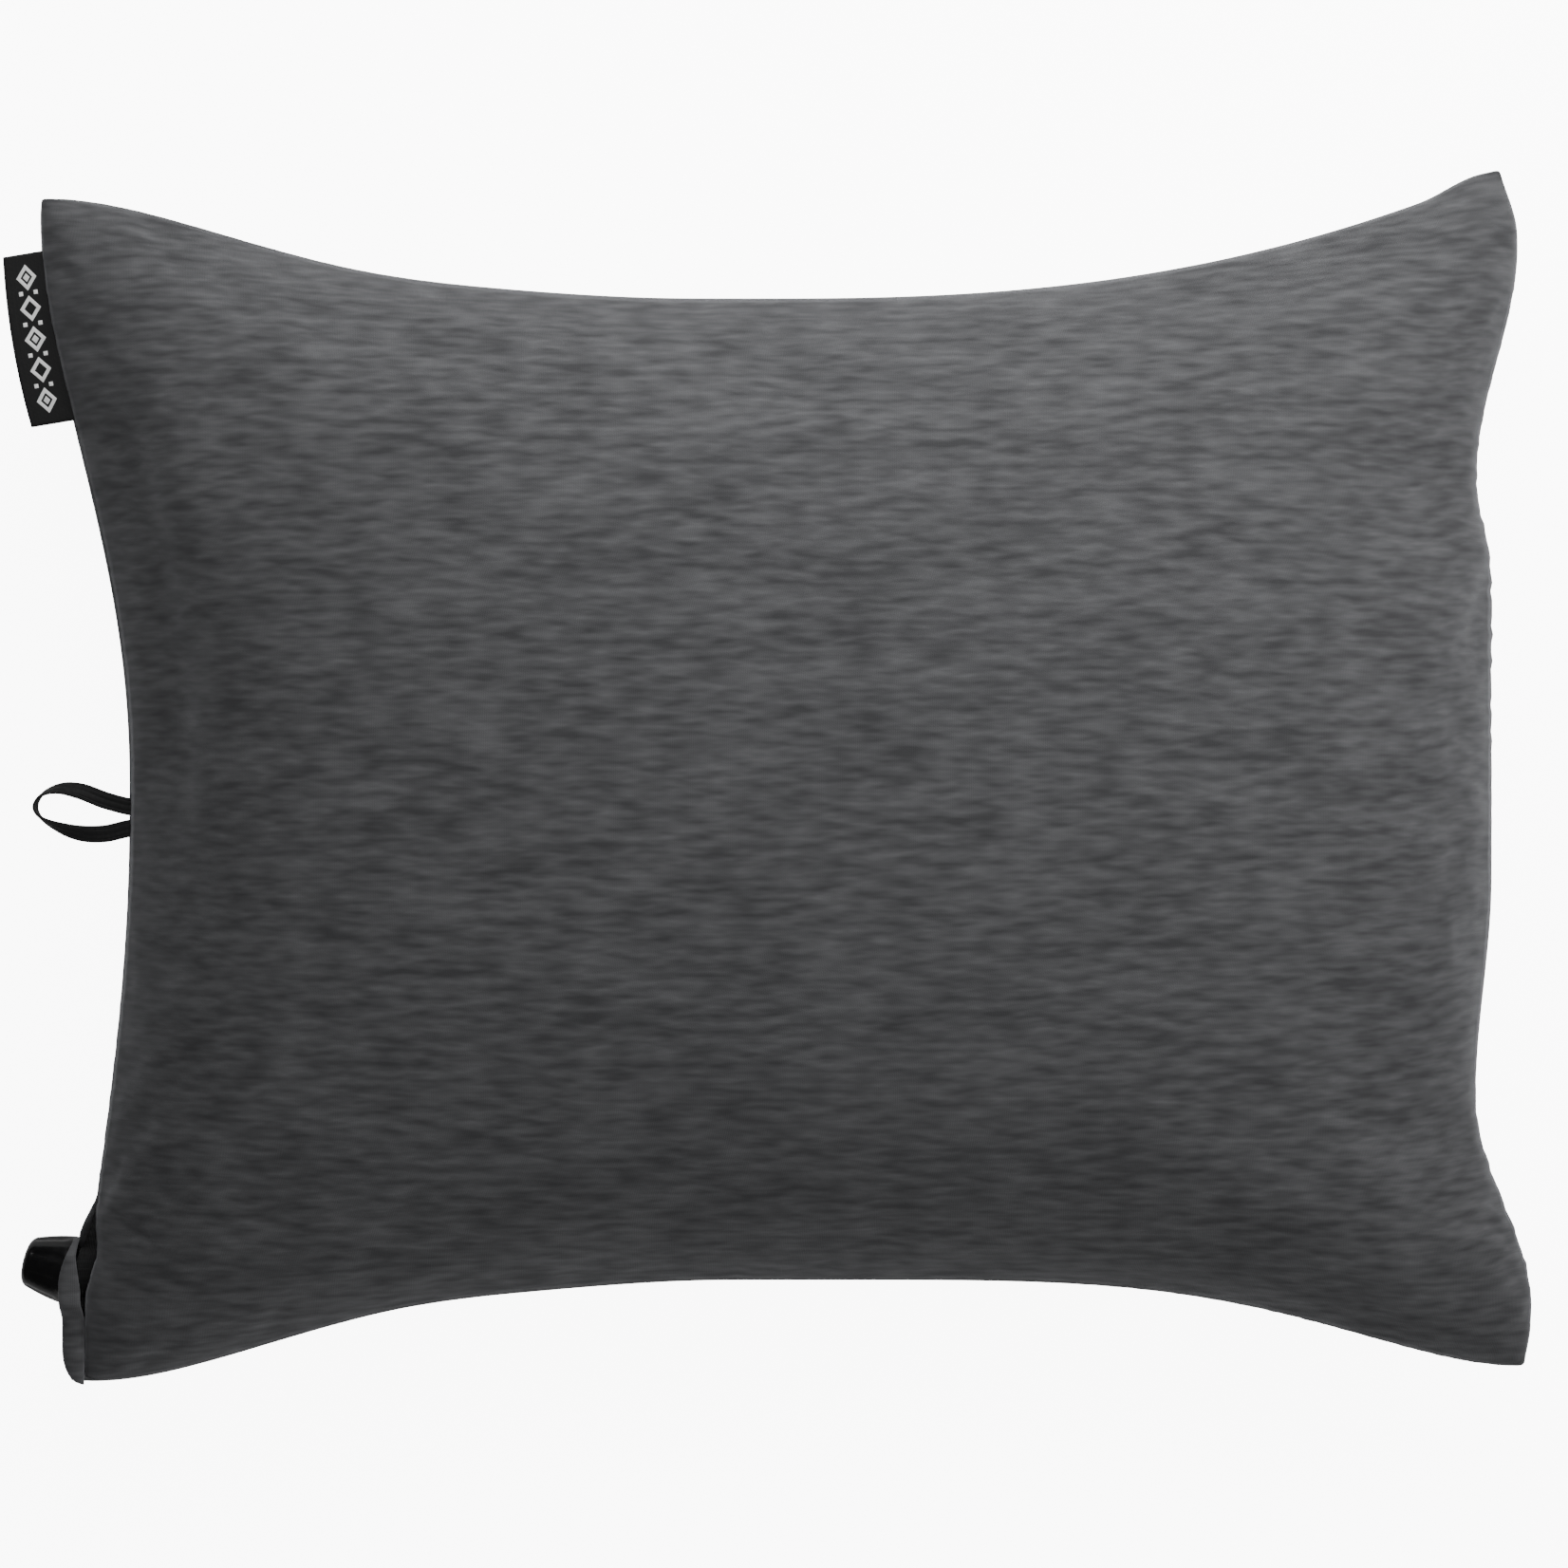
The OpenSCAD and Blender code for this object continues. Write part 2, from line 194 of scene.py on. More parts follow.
def finish_mesh(bm, name, material=None, matrix=Matrix.Identity(4)):
    """Turns a bmesh in mm into a piece in metres, placed by its matrix."""
    bmesh.ops.transform(bm, matrix=matrix, verts=bm.verts)
    bmesh.ops.scale(bm, vec=(MM, MM, MM), verts=bm.verts)
    mesh = bpy.data.meshes.new(name)
    bm.to_mesh(mesh)
    bm.free()
    if material:
        mesh.materials.append(finish_named(material))
    mesh.shade_smooth()
    piece = bpy.data.objects.new(name, mesh)
    bpy.context.scene.collection.objects.link(piece)
    return piece


def settle(piece):
    """Makes what the modifiers give the piece's own mesh."""
    graph = bpy.context.evaluated_depsgraph_get()
    made = bpy.data.meshes.new_from_object(piece.evaluated_get(graph), depsgraph=graph)
    old = piece.data
    piece.modifiers.clear()
    piece.data = made
    bpy.data.meshes.remove(old)
    made.name = piece.name


def subdivide(piece):
    piece.modifiers.new("smooth", "SUBSURF").levels = 1
    settle(piece)


def thicken(piece, thickness, offset=-1.0):
    wall = piece.modifiers.new("wall", "SOLIDIFY")
    wall.thickness = thickness * MM
    wall.offset = offset
    wall.use_even_offset = False
    settle(piece)


def patch(bm, columns, rows, at, chart=None):
    """A grid whose corners at(a, b) places, with a and b from -1 to 1.

    chart(a, b) is its cloth map, in mm. Without one the map is the grid's plan."""
    layer = bm.loops.layers.uv.get("cloth") or bm.loops.layers.uv.new("cloth")
    made = bmesh.ops.create_grid(bm, x_segments=columns, y_segments=rows, size=1)["verts"]
    where = {v: (v.co.x, v.co.y) for v in made}
    for face in {f for v in made for f in v.link_faces}:
        for loop in face.loops:
            a, b = where[loop.vert]
            place = chart(a, b) if chart else at(a, b)
            loop[layer].uv = (place[0] * MM, place[1] * MM)
    for v, (a, b) in where.items():
        v.co = at(a, b)
    return made


def close_up(bm):
    """Joins points that lie on each other, closes open ends and turns the faces outwards."""
    bmesh.ops.remove_doubles(bm, verts=bm.verts, dist=0.001)
    bmesh.ops.holes_fill(bm, edges=[e for e in bm.edges if e.is_boundary], sides=0)
    bmesh.ops.recalc_face_normals(bm, faces=bm.faces)


def swept(bm, rings, sides, point, length=None, girth=None):
    """A closed tube. point(t, angle) gives a point of the ring at t, from 0 to 1.

    With a length and a girth the cloth map runs along and round it, and else it is its plan."""
    def at(a, b):
        return point(round((a + 1) / 2 * rings) / rings, math.pi * (b + 1))

    def chart(a, b):
        return (a + 1) / 2 * length, (b + 1) / 2 * girth

    patch(bm, rings, sides, at, chart if length else None)


def squarish(angle, across, up):
    """The cosine and the sine of a section between round, at powers of 1, and square, at 0."""
    c, s = math.cos(angle), math.sin(angle)
    return math.copysign(abs(c) ** across, c), math.copysign(abs(s) ** up, s)


def curve_point(line, t):
    """A smooth curve through a line's points, with t from 0 to 1."""
    t = t * (len(line) - 1)
    k = min(int(t), len(line) - 2)
    s = t - k
    p0, p1, p2 = line[max(k - 1, 0)], line[k], line[k + 1]
    p3 = line[min(k + 2, len(line) - 1)]
    return 0.5 * (2 * p1 + s * (p2 - p0) + s * s * (2 * p0 - 5 * p1 + 4 * p2 - p3)
                  + s ** 3 * (3 * p1 - p0 - 3 * p2 + p3))


def thread_row(bm, place, count, long, wide):
    """A row of stitches. place(t) gives each stitch's middle, and its direction is the row's."""
    for k in range(count):
        t = (k + 0.5) / count
        here = place(t)
        way = (place(min(t + 0.001, 1)) - place(max(t - 0.001, 0))).normalized()
        turn = way.to_track_quat("X", "Z").to_matrix().to_4x4()
        size = Matrix.Diagonal((long / 2, wide / 2, wide / 2, 1))
        bmesh.ops.create_icosphere(bm, subdivisions=1, radius=1,
                                   matrix=Matrix.Translation(here) @ turn @ size)


def spun(bm, profile, steps):
    """Turns a closed profile of (radius, height) points about Z."""
    points = [bm.verts.new((r, 0, h)) for r, h in profile]
    edges = [bm.edges.new(pair) for pair in zip(points, points[1:] + points[:1])]
    bmesh.ops.spin(bm, geom=points + edges, cent=(0, 0, 0), axis=(0, 0, 1), dvec=(0, 0, 0),
                   angle=2 * math.pi, steps=steps, use_merge=True, use_duplicate=False)
    bmesh.ops.remove_doubles(bm, verts=bm.verts, dist=0.0005)
    bmesh.ops.recalc_face_normals(bm, faces=bm.faces)


def arc(cx, cy, radius, start, end, steps):
    """Points of a round corner in a profile, in degrees."""
    turns = [math.radians(mix(start, end, k / steps)) for k in range(steps + 1)]
    return [(cx + radius * math.cos(t), cy + radius * math.sin(t)) for t in turns]


# ---- Materials -----------------------------------------------------------

class Tree:
    """Adds shader nodes. What is given for a socket is linked if it is a socket, and else set."""

    def __init__(self, tree):
        self.tree = tree

    def give(self, socket, value):
        if isinstance(value, bpy.types.NodeSocket):
            self.tree.links.new(value, socket)
        else:
            socket.default_value = value

    def add(self, kind, inputs=None, **settings):
        node = self.tree.nodes.new(kind)
        for name, value in settings.items():
            setattr(node, name, value)
        for name, value in (inputs or {}).items():
            self.give(node.inputs[name], value)
        return node

    def cloth(self):
        return self.add("ShaderNodeUVMap", uv_map="cloth").outputs["UV"]

    def spot(self):
        return self.add("ShaderNodeTexCoord").outputs["Object"]

    def math(self, operation, a, b=0.0, c=0.0):
        return self.add("ShaderNodeMath", {0: a, 1: b, 2: c}, operation=operation).outputs[0]

    def ramp(self, value, low, high, to_low=0.0, to_high=1.0):
        made = self.add("ShaderNodeMapRange", {"Value": value, "From Min": low, "From Max": high,
                                               "To Min": to_low, "To Max": to_high})
        return made.outputs["Result"]

    def noise(self, vector, scale, detail=2.0, roughness=0.5):
        made = self.add("ShaderNodeTexNoise", {"Vector": vector, "Scale": scale, "Detail": detail,
                                               "Roughness": roughness})
        return made.outputs["Fac"]

    def stretch(self, vector, scale, shift=(0.0, 0.0, 0.0)):
        made = self.add("ShaderNodeMapping", {"Vector": vector, "Scale": scale, "Location": shift})
        return made.outputs["Vector"]

    def blend(self, factor, a, b, kind="MIX"):
        made = self.add("ShaderNodeMix", data_type="RGBA", blend_type=kind)
        for number, value in ((0, factor), (6, a), (7, b)):
            self.give(made.inputs[number], value)
        return made.outputs[2]

    def bump(self, height, distance, strength=1.0):
        made = self.add("ShaderNodeBump", {"Height": height, "Distance": distance,
                                           "Strength": strength})
        return made.outputs["Normal"]


def node_group(name, inputs, outputs):
    """A shader node group with named inputs and outputs, and its inside."""
    tree = bpy.data.node_groups.new(name, "ShaderNodeTree")
    for socket, kind, value in inputs:
        made = tree.interface.new_socket(name=socket, in_out="INPUT", socket_type=kind)
        if value is not None:
            made.default_value = value
    for socket, kind in outputs:
        tree.interface.new_socket(name=socket, in_out="OUTPUT", socket_type=kind)
    return tree, tree.nodes.new("NodeGroupInput"), tree.nodes.new("NodeGroupOutput")


def streak_group():
    """Heather: short light and dark streaks that lie along the yarn."""
    tree, given, result = node_group(
        "Heather Streaks",
        [("Vector", "NodeSocketVector", None), ("Per Metre Along", "NodeSocketFloat", 100.0),
         ("Per Metre Across", "NodeSocketFloat", 600.0)],
        [("Streaks", "NodeSocketFloat"), ("Fine", "NodeSocketFloat")])
    t = Tree(tree)
    scale = t.add("ShaderNodeCombineXYZ", {"X": given.outputs["Per Metre Along"],
                                           "Y": given.outputs["Per Metre Across"], "Z": 1.0})
    place = t.add("ShaderNodeVectorMath", {0: given.outputs["Vector"], 1: scale.outputs[0]},
                  operation="MULTIPLY").outputs[0]
    long_streaks = t.noise(place, 1.0, 1.0, 0.4)
    patches = t.noise(t.stretch(place, (0.28, 0.22, 1.0), (3.1, 7.7, 2.0)), 1.0, 2.0, 0.5)
    fine = t.noise(t.stretch(place, (2.3, 2.4, 1.0), (11.0, 5.0, 4.0)), 1.0, 1.0, 0.5)
    both = t.math("MULTIPLY_ADD", long_streaks, 0.62, t.math("MULTIPLY", patches, 0.38))
    tree.links.new(t.ramp(both, 0.33, 0.67), result.inputs["Streaks"])
    tree.links.new(t.ramp(fine, 0.25, 0.75), result.inputs["Fine"])
    return tree


def stitch_group():
    """Jersey knit: rows of small V shaped stitches, as a height."""
    tree, given, result = node_group(
        "Jersey Stitches",
        [("Vector", "NodeSocketVector", None), ("Stitch Width", "NodeSocketFloat", 0.001),
         ("Stitch Height", "NodeSocketFloat", 0.0008)],
        [("Height", "NodeSocketFloat")])
    t = Tree(tree)
    xyz = t.add("ShaderNodeSeparateXYZ", {"Vector": given.outputs["Vector"]})
    across = t.math("DIVIDE", xyz.outputs["X"], given.outputs["Stitch Width"])
    along = t.math("DIVIDE", xyz.outputs["Y"], given.outputs["Stitch Height"])
    leg = t.math("MULTIPLY", t.math("PINGPONG", across, 0.5), 2.0)
    row = t.math("SINE", t.math("MULTIPLY", t.math("ADD", along, leg), 2 * math.pi))
    row = t.math("MULTIPLY_ADD", row, 0.5, 0.5)
    side = t.math("SINE", t.math("MULTIPLY", leg, math.pi))
    height = t.math("MULTIPLY", t.math("MULTIPLY_ADD", row, 0.6, 0.4), side)
    tree.links.new(height, result.inputs["Height"])
    return tree


def weave_group():
    """Plain woven tape: warp and weft threads that pass over and under."""
    tree, given, result = node_group(
        "Tape Weave",
        [("Vector", "NodeSocketVector", None), ("Along", "NodeSocketFloat", 0.0006),
         ("Across", "NodeSocketFloat", 0.0005)],
        [("Height", "NodeSocketFloat"), ("Thread", "NodeSocketFloat")])
    t = Tree(tree)
    xyz = t.add("ShaderNodeSeparateXYZ", {"Vector": given.outputs["Vector"]})
    a = t.math("MULTIPLY", t.math("DIVIDE", xyz.outputs["X"], given.outputs["Along"]), math.pi)
    b = t.math("MULTIPLY", t.math("DIVIDE", xyz.outputs["Y"], given.outputs["Across"]), math.pi)
    warp = t.math("ABSOLUTE", t.math("SINE", b))
    weft = t.math("ABSOLUTE", t.math("SINE", a))
    over = t.math("MULTIPLY_ADD", t.math("SINE", a), 0.5, 0.5)
    height = t.math("ADD", t.math("MULTIPLY", warp, t.math("MULTIPLY_ADD", over, 0.4, 0.6)),
                    t.math("MULTIPLY", weft, 0.25))
    tree.links.new(height, result.inputs["Height"])
    tree.links.new(t.noise(t.stretch(given.outputs["Vector"], (300.0, 2400.0, 1.0)), 1.0, 2.0),
                   result.inputs["Thread"])
    return tree


def mould_group():
    """Moulded plastic: fine spark grain, a few rubbed spots and dust in the dull places."""
    tree, given, result = node_group(
        "Moulded Surface",
        [("Vector", "NodeSocketVector", None), ("Grain Per Metre", "NodeSocketFloat", 5000.0)],
        [("Height", "NodeSocketFloat"), ("Rub", "NodeSocketFloat")])
    t = Tree(tree)
    tree.links.new(t.noise(given.outputs["Vector"], given.outputs["Grain Per Metre"], 2.0, 0.6),
                   result.inputs["Height"])
    tree.links.new(t.ramp(t.noise(given.outputs["Vector"], 260.0, 4.0, 0.6), 0.35, 0.75),
                   result.inputs["Rub"])
    return tree


GROUP_MAKERS = {"Heather Streaks": streak_group, "Jersey Stitches": stitch_group,
                "Tape Weave": weave_group, "Moulded Surface": mould_group}


def use_group(t, name, inputs):
    return t.add("ShaderNodeGroup", inputs,
                 node_tree=bpy.data.node_groups.get(name) or GROUP_MAKERS[name]())


def new_material(name, **settings):
    """A material with its Principled shader's plain values set, and its tree to build on."""
    material = bpy.data.materials.new(name)
    material.use_nodes = True
    shader = material.node_tree.nodes["Principled BSDF"]
    for socket, value in settings.items():
        shader.inputs[socket.replace("_", " ")].default_value = value
    return material, Tree(material.node_tree), shader


def grey(value):
    return (value, value, value, 1.0)


def shade(values, by=1.0):
    """A colour of three values, darker or lighter by a share."""
    return (*[c * by for c in values], 1.0)


def heather_knit(name, colours):
    material, t, shader = new_material(
        name, Roughness=0.92, Specular_IOR_Level=0.18, Sheen_Weight=colours.sheen,
        Sheen_Roughness=0.42, Sheen_Tint=(0.75, 0.76, 0.8, 1.0))
    cloth = t.cloth()
    heather = use_group(t, "Heather Streaks", {"Vector": cloth, "Per Metre Along": 95.0,
                                               "Per Metre Across": 430.0})
    knit = use_group(t, "Jersey Stitches", {"Vector": cloth, "Stitch Width": 0.00095,
                                            "Stitch Height": 0.0007})
    colour = t.blend(heather.outputs["Streaks"], shade(colours.knit_dark),
                     shade(colours.knit_light))
    colour = t.blend(t.ramp(heather.outputs["Fine"], 0.0, 1.0, 0.0, 0.22), colour, grey(0.02))
    # Painted shade: the knit is darkened in the low parts of its stitches, where shade falls.
    painted_stitch_shade = t.ramp(knit.outputs["Height"], 0.0, 1.0, 0.9, 1.03)
    colour = t.blend(1.0, colour, t.add("ShaderNodeCombineColor", {
        "Red": painted_stitch_shade, "Green": painted_stitch_shade, "Blue": painted_stitch_shade}).outputs[0], "MULTIPLY")
    t.give(shader.inputs["Base Color"], colour)
    height = t.math("MULTIPLY_ADD", heather.outputs["Streaks"], 0.35, knit.outputs["Height"])
    t.give(shader.inputs["Normal"], t.bump(height, 0.00006, 0.6))
    return material


# How far apart each tape's threads are along and across it, and their depth, in metres
TAPE_THREADS = {"black_webbing": (0.0011, 0.00062, 0.00016), "label_weave": (0.0005, 0.00035, 0.00006),
                "zip_weave": (0.0007, 0.0006, 0.0001)}


def black_tape(name, colours):
    along, across, depth = TAPE_THREADS[name]
    material, t, shader = new_material(name, Roughness=0.78, Specular_IOR_Level=0.3,
                                       Sheen_Weight=0.06, Sheen_Roughness=0.4)
    cloth = t.cloth()
    weave = use_group(t, "Tape Weave", {"Vector": cloth, "Along": along, "Across": across})
    colour = t.blend(weave.outputs["Thread"], shade(colours.webbing, 0.55),
                     shade(colours.webbing, 1.5))
    t.give(shader.inputs["Base Color"], colour)
    t.give(shader.inputs["Normal"], t.bump(weave.outputs["Height"], depth))
    return material


def label_thread(name, colours):
    material, t, shader = new_material(name, Roughness=0.6, Specular_IOR_Level=0.4,
                                       Sheen_Weight=0.1)
    cloth = t.cloth()
    lie = t.add("ShaderNodeTexWave", {"Vector": cloth, "Scale": 420.0, "Distortion": 0.6},
                wave_type="BANDS", bands_direction="Y", wave_profile="SIN").outputs["Fac"]
    colour = t.blend(lie, grey(0.7), shade(colours.label_thread))
    t.give(shader.inputs["Base Color"], colour)
    t.give(shader.inputs["Normal"], t.bump(lie, 0.00012))
    return material


def black_plastic(name, colours):
    material, t, shader = new_material(name, Specular_IOR_Level=0.32)
    spot = t.spot()
    mould = use_group(t, "Moulded Surface", {"Vector": spot, "Grain Per Metre": 4200.0})
    colour = t.blend(mould.outputs["Rub"], shade(colours.plastic), shade(colours.plastic, 1.9))
    t.give(shader.inputs["Base Color"], colour)
    t.give(shader.inputs["Roughness"], t.ramp(mould.outputs["Rub"], 0.0, 1.0, 0.2, 0.3))
    t.give(shader.inputs["Normal"], t.bump(mould.outputs["Height"], 0.00002, 0.5))
    return material


def zip_enamel(name, colours):
    material, t, shader = new_material(name, Metallic=0.0, Specular_IOR_Level=0.6,
                                       Coat_Weight=0.4, Coat_Roughness=0.2)
    spot = t.spot()
    mould = use_group(t, "Moulded Surface", {"Vector": spot, "Grain Per Metre": 2500.0})
    colour = t.blend(mould.outputs["Rub"], grey(0.010), grey(0.022))
    t.give(shader.inputs["Base Color"], colour)
    t.give(shader.inputs["Roughness"], t.ramp(mould.outputs["Rub"], 0.0, 1.0, 0.3, 0.45))
    t.give(shader.inputs["Normal"], t.bump(mould.outputs["Height"], 0.00002, 0.5))
    return material


def coil_nylon(name, colours):
    material, t, shader = new_material(name, Specular_IOR_Level=0.5)
    spot = t.spot()
    shade = t.noise(spot, 900.0, 3.0, 0.6)
    t.give(shader.inputs["Base Color"], t.blend(shade, grey(0.008), grey(0.022)))
    t.give(shader.inputs["Roughness"], t.ramp(shade, 0.3, 0.7, 0.3, 0.45))
    t.give(shader.inputs["Normal"], t.bump(shade, 0.00002))
    return material


def open_foam(name, colours):
    material, t, shader = new_material(name, Roughness=0.95, Specular_IOR_Level=0.15,
                                       Sheen_Weight=0.15)
    spot = t.spot()
    cells = t.add("ShaderNodeTexVoronoi", {"Vector": spot, "Scale": 900.0},
                  feature="DISTANCE_TO_EDGE").outputs["Distance"]
    wall = t.ramp(cells, 0.0, 0.25)
    t.give(shader.inputs["Base Color"], t.blend(wall, (0.42, 0.38, 0.27, 1.0), shade(colours.foam)))
    t.give(shader.inputs["Normal"], t.bump(wall, 0.0005))
    return material


def bladder_film(name, colours):
    material, t, shader = new_material(name, Specular_IOR_Level=0.45, Sheen_Weight=0.05)
    cloth = t.cloth()
    weave = use_group(t, "Tape Weave", {"Vector": cloth, "Along": 0.0004, "Across": 0.0004})
    wrinkle = t.noise(t.stretch(cloth, (30.0, 60.0, 1.0)), 1.0, 4.0, 0.55)
    colour = t.blend(wrinkle, shade(colours.film, 0.8), shade(colours.film))
    t.give(shader.inputs["Base Color"], colour)
    t.give(shader.inputs["Roughness"], t.ramp(wrinkle, 0.3, 0.7, 0.38, 0.6))
    height = t.math("MULTIPLY_ADD", wrinkle, 8.0, weave.outputs["Height"])
    t.give(shader.inputs["Normal"], t.bump(height, 0.00008))
    return material


def seal_rubber(name, colours):
    material, t, shader = new_material(name, Specular_IOR_Level=0.4)
    spot = t.spot()
    bloom = t.noise(spot, 1400.0, 3.0, 0.6)
    t.give(shader.inputs["Base Color"], t.blend(bloom, grey(0.012), grey(0.03)))
    t.give(shader.inputs["Roughness"], t.ramp(bloom, 0.3, 0.7, 0.45, 0.65))
    return material


def care_satin(name, colours):
    material, t, shader = new_material(name, Roughness=0.5, Sheen_Weight=0.1)
    cloth = t.cloth()
    weave = use_group(t, "Tape Weave", {"Vector": cloth, "Along": 0.0003, "Across": 0.0003})
    t.give(shader.inputs["Base Color"], t.blend(weave.outputs["Thread"], grey(0.62), grey(0.82)))
    t.give(shader.inputs["Normal"], t.bump(weave.outputs["Height"], 0.00005))
    return material


def pale_floor(stage):
    material, t, shader = new_material("pale_floor", Roughness=0.85, Specular_IOR_Level=0.1)
    spot = t.spot()
    tone = t.noise(spot, 3.0, 2.0)
    t.give(shader.inputs["Base Color"], t.blend(tone, grey(0.88), grey(0.92)))
    shader.inputs["Emission Color"].default_value = grey(1.0)
    seen = t.add("ShaderNodeLightPath").outputs["Is Camera Ray"]
    t.give(shader.inputs["Emission Strength"], t.math("MULTIPLY", seen, stage.floor_glow))
    return material


MATERIAL_MAKERS = {"heather_knit": heather_knit, "black_webbing": black_tape,
                   "label_weave": black_tape, "zip_weave": black_tape, "label_thread": label_thread,
                   "black_plastic": black_plastic, "zip_enamel": zip_enamel,
                   "coil_nylon": coil_nylon, "open_foam": open_foam, "bladder_film": bladder_film,
                   "seal_rubber": seal_rubber, "care_satin": care_satin}


def finish_named(name):
    """The material of that name, made the first time that a piece asks for it."""
    found = bpy.data.materials.get(name)
    return found or MATERIAL_MAKERS[name](name, bpy.context.scene.pillow_colours)


# ---- Cover panels --------------------------------------------------------

COLUMNS = 112
ROWS = 88
START_RISE = CROWN_H - SEAM_H   # of the front panel before it's blown up, at full height
START_FALL = 50.0               # and of the back panel
SEAM_HALF = 0.15                # from the seam's middle to each panel
SOFT_CAP = 9.0                  # furthest that the air moves a point of a panel
RIM_SLICE = 0.06                # share of a panel by the left seam that the valve pushes open
CLOTH_FRAMES = 20
# How the knit behaves as it's blown up
KNIT_CLOTH = {"quality": 7, "mass": 0.15, "tension_stiffness": 18.0, "compression_stiffness": 9.0,
              "shear_stiffness": 4.0, "bending_stiffness": 0.4, "tension_damping": 8.0,
              "shrink_min": -0.006, "vertex_group_mass": "seam", "use_pressure": True}


def spaced(t):
    """Grid lines are closer together towards the seams."""
    return 0.45 * t + 0.55 * math.sin(math.pi * t / 2)


def valve_gap(y):
    """How open the seam is at the valve, from 0 to 1."""
    return bell((y - VALVE_AT.y + 2.5) / 17.0)


def front_rest(u, v, lift):
    """The front panel before it's blown up, in mm."""
    x, y = plan(u, v)
    edge = step(1 - (u + 1) / RIM_SLICE)
    x += 1.9 * bell((y + 138.5) / 13.0) * edge
    z = SEAM_H + SEAM_HALF + 2.4 * valve_gap(y) * edge
    return Vector((x, y, z + START_RISE * lift * dome(u, v)))


def back_seam_x(y):
    """The back panel's left edge, which runs out past the front's by the valve."""
    return left_x(max(-1.0, y / 175)) - 4.4 * step((-y - 120) / 15)


def back_rest(u, v, lift):
    """The back panel before it's blown up, in mm, bulging below where it will rest."""
    x, y = plan(u, v)
    edge = step(1 - (u + 1) / RIM_SLICE)
    x += edge * (back_seam_x(y) - left_x(y / 175))
    z = SEAM_H - SEAM_HALF - 9.0 * valve_gap(y) * edge
    return Vector((x, y, z - START_FALL * lift * dome(u, v)))


def read_rows(items, name):
    found = np.empty(len(items) * 3)
    items.foreach_get(name, found)
    return found.reshape(-1, 3)


def coordinates(mesh):
    return read_rows(mesh.vertices, "co")


def write_coordinates(mesh, co):
    mesh.vertices.foreach_set("co", co.ravel())
    mesh.update()


def inflate(piece, pressure):
    """Blows the panel up as cloth whose rim is held, and keeps each point within the cap of its start."""
    start = coordinates(piece.data)
    piece.vertex_groups.new(name="seam").add(rim_points(), 1.0, "REPLACE")
    cloth = piece.modifiers.new("air", "CLOTH")
    for name, value in KNIT_CLOTH.items():
        setattr(cloth.settings, name, value)
    cloth.settings.uniform_pressure_force = pressure
    cloth.settings.effector_weights.gravity = 0.0
    cloth.collision_settings.use_collision = False
    cloth.point_cache.frame_start = 1
    cloth.point_cache.frame_end = CLOTH_FRAMES
    scene = bpy.context.scene
    for number in range(1, CLOTH_FRAMES + 1):
        scene.frame_set(number)
    graph = bpy.context.evaluated_depsgraph_get()
    moved = coordinates(piece.evaluated_get(graph).data) - start
    piece.modifiers.clear()
    piece.vertex_groups.clear()
    scene.frame_set(1)
    length = np.maximum(np.linalg.norm(moved, axis=1), 1e-9)
    limit = SOFT_CAP * MM
    moved *= (limit * np.tanh(length / limit) / length)[:, None]
    write_coordinates(piece.data, start + moved)


def chart_panel(piece):
    """Maps the cloth by the distance along its threads, so that the slopes don't stretch its pattern."""
    mesh = piece.data
    co = coordinates(mesh).reshape(ROWS + 1, COLUMNS + 1, 3)
    along = np.linalg.norm(np.diff(co, axis=1), axis=2)
    along = np.concatenate([np.zeros((ROWS + 1, 1)), np.cumsum(along, axis=1)], axis=1)
    along -= along[:, COLUMNS // 2][:, None]
    up = np.linalg.norm(np.diff(co, axis=0), axis=2)
    up = np.concatenate([np.zeros((1, COLUMNS + 1)), np.cumsum(up, axis=0)], axis=0)
    up -= up[ROWS // 2][None, :]
    level = 0.5 * (up + co[:, :, 1])
    layer = mesh.uv_layers.get("cloth") or mesh.uv_layers.new(name="cloth")
    index = np.empty(len(mesh.loops), int)
    mesh.loops.foreach_get("vertex_index", index)
    uv = np.stack([along.ravel()[index], level.ravel()[index]], axis=1)
    layer.data.foreach_set("uv", uv.ravel())


def rim_points():
    row = COLUMNS + 1
    return sorted({j * row + i for j in range(ROWS + 1) for i in range(row)
                   if i in (0, COLUMNS) or j in (0, ROWS)})


def panel(name, rest, sizes, turned=False):
    """A panel of the cover, blown up but not yet thick. A turned one faces down."""
    bm = bmesh.new()
    patch(bm, COLUMNS, ROWS, lambda a, b: rest(spaced(a), spaced(b), sizes.slack))
    if turned:
        bmesh.ops.reverse_faces(bm, faces=bm.faces)
    piece = finish_mesh(bm, name, "heather_knit")
    inflate(piece, sizes.pressure)
    return piece


def hash_wave(t, seed):
    """A smooth, uneven wave made of a few sines, from -1 to 1."""
    return (np.sin(t + seed) + 0.7 * np.sin(1.73 * t + 2.1 * seed)
            + 0.5 * np.sin(2.91 * t + 3.7 * seed)) / 2.2


def seam_distance(co):
    """Distances from the left, right, top and bottom seams in plan, in mm."""
    x, y = co[:, 0] / MM, co[:, 1] / MM
    u = np.clip((x + 3) / 212, -1, 1)
    v = np.clip(y / 160, -1, 1)
    t = np.linspace(-1, 1, 201)
    left, right, top, bottom = ([seam(k) for k in t] for seam in (left_x, right_x, top_y, bottom_y))
    return (x - np.interp(v, t, left), np.interp(v, t, right) - x,
            np.interp(u, t, top) - y, y - np.interp(u, t, bottom))


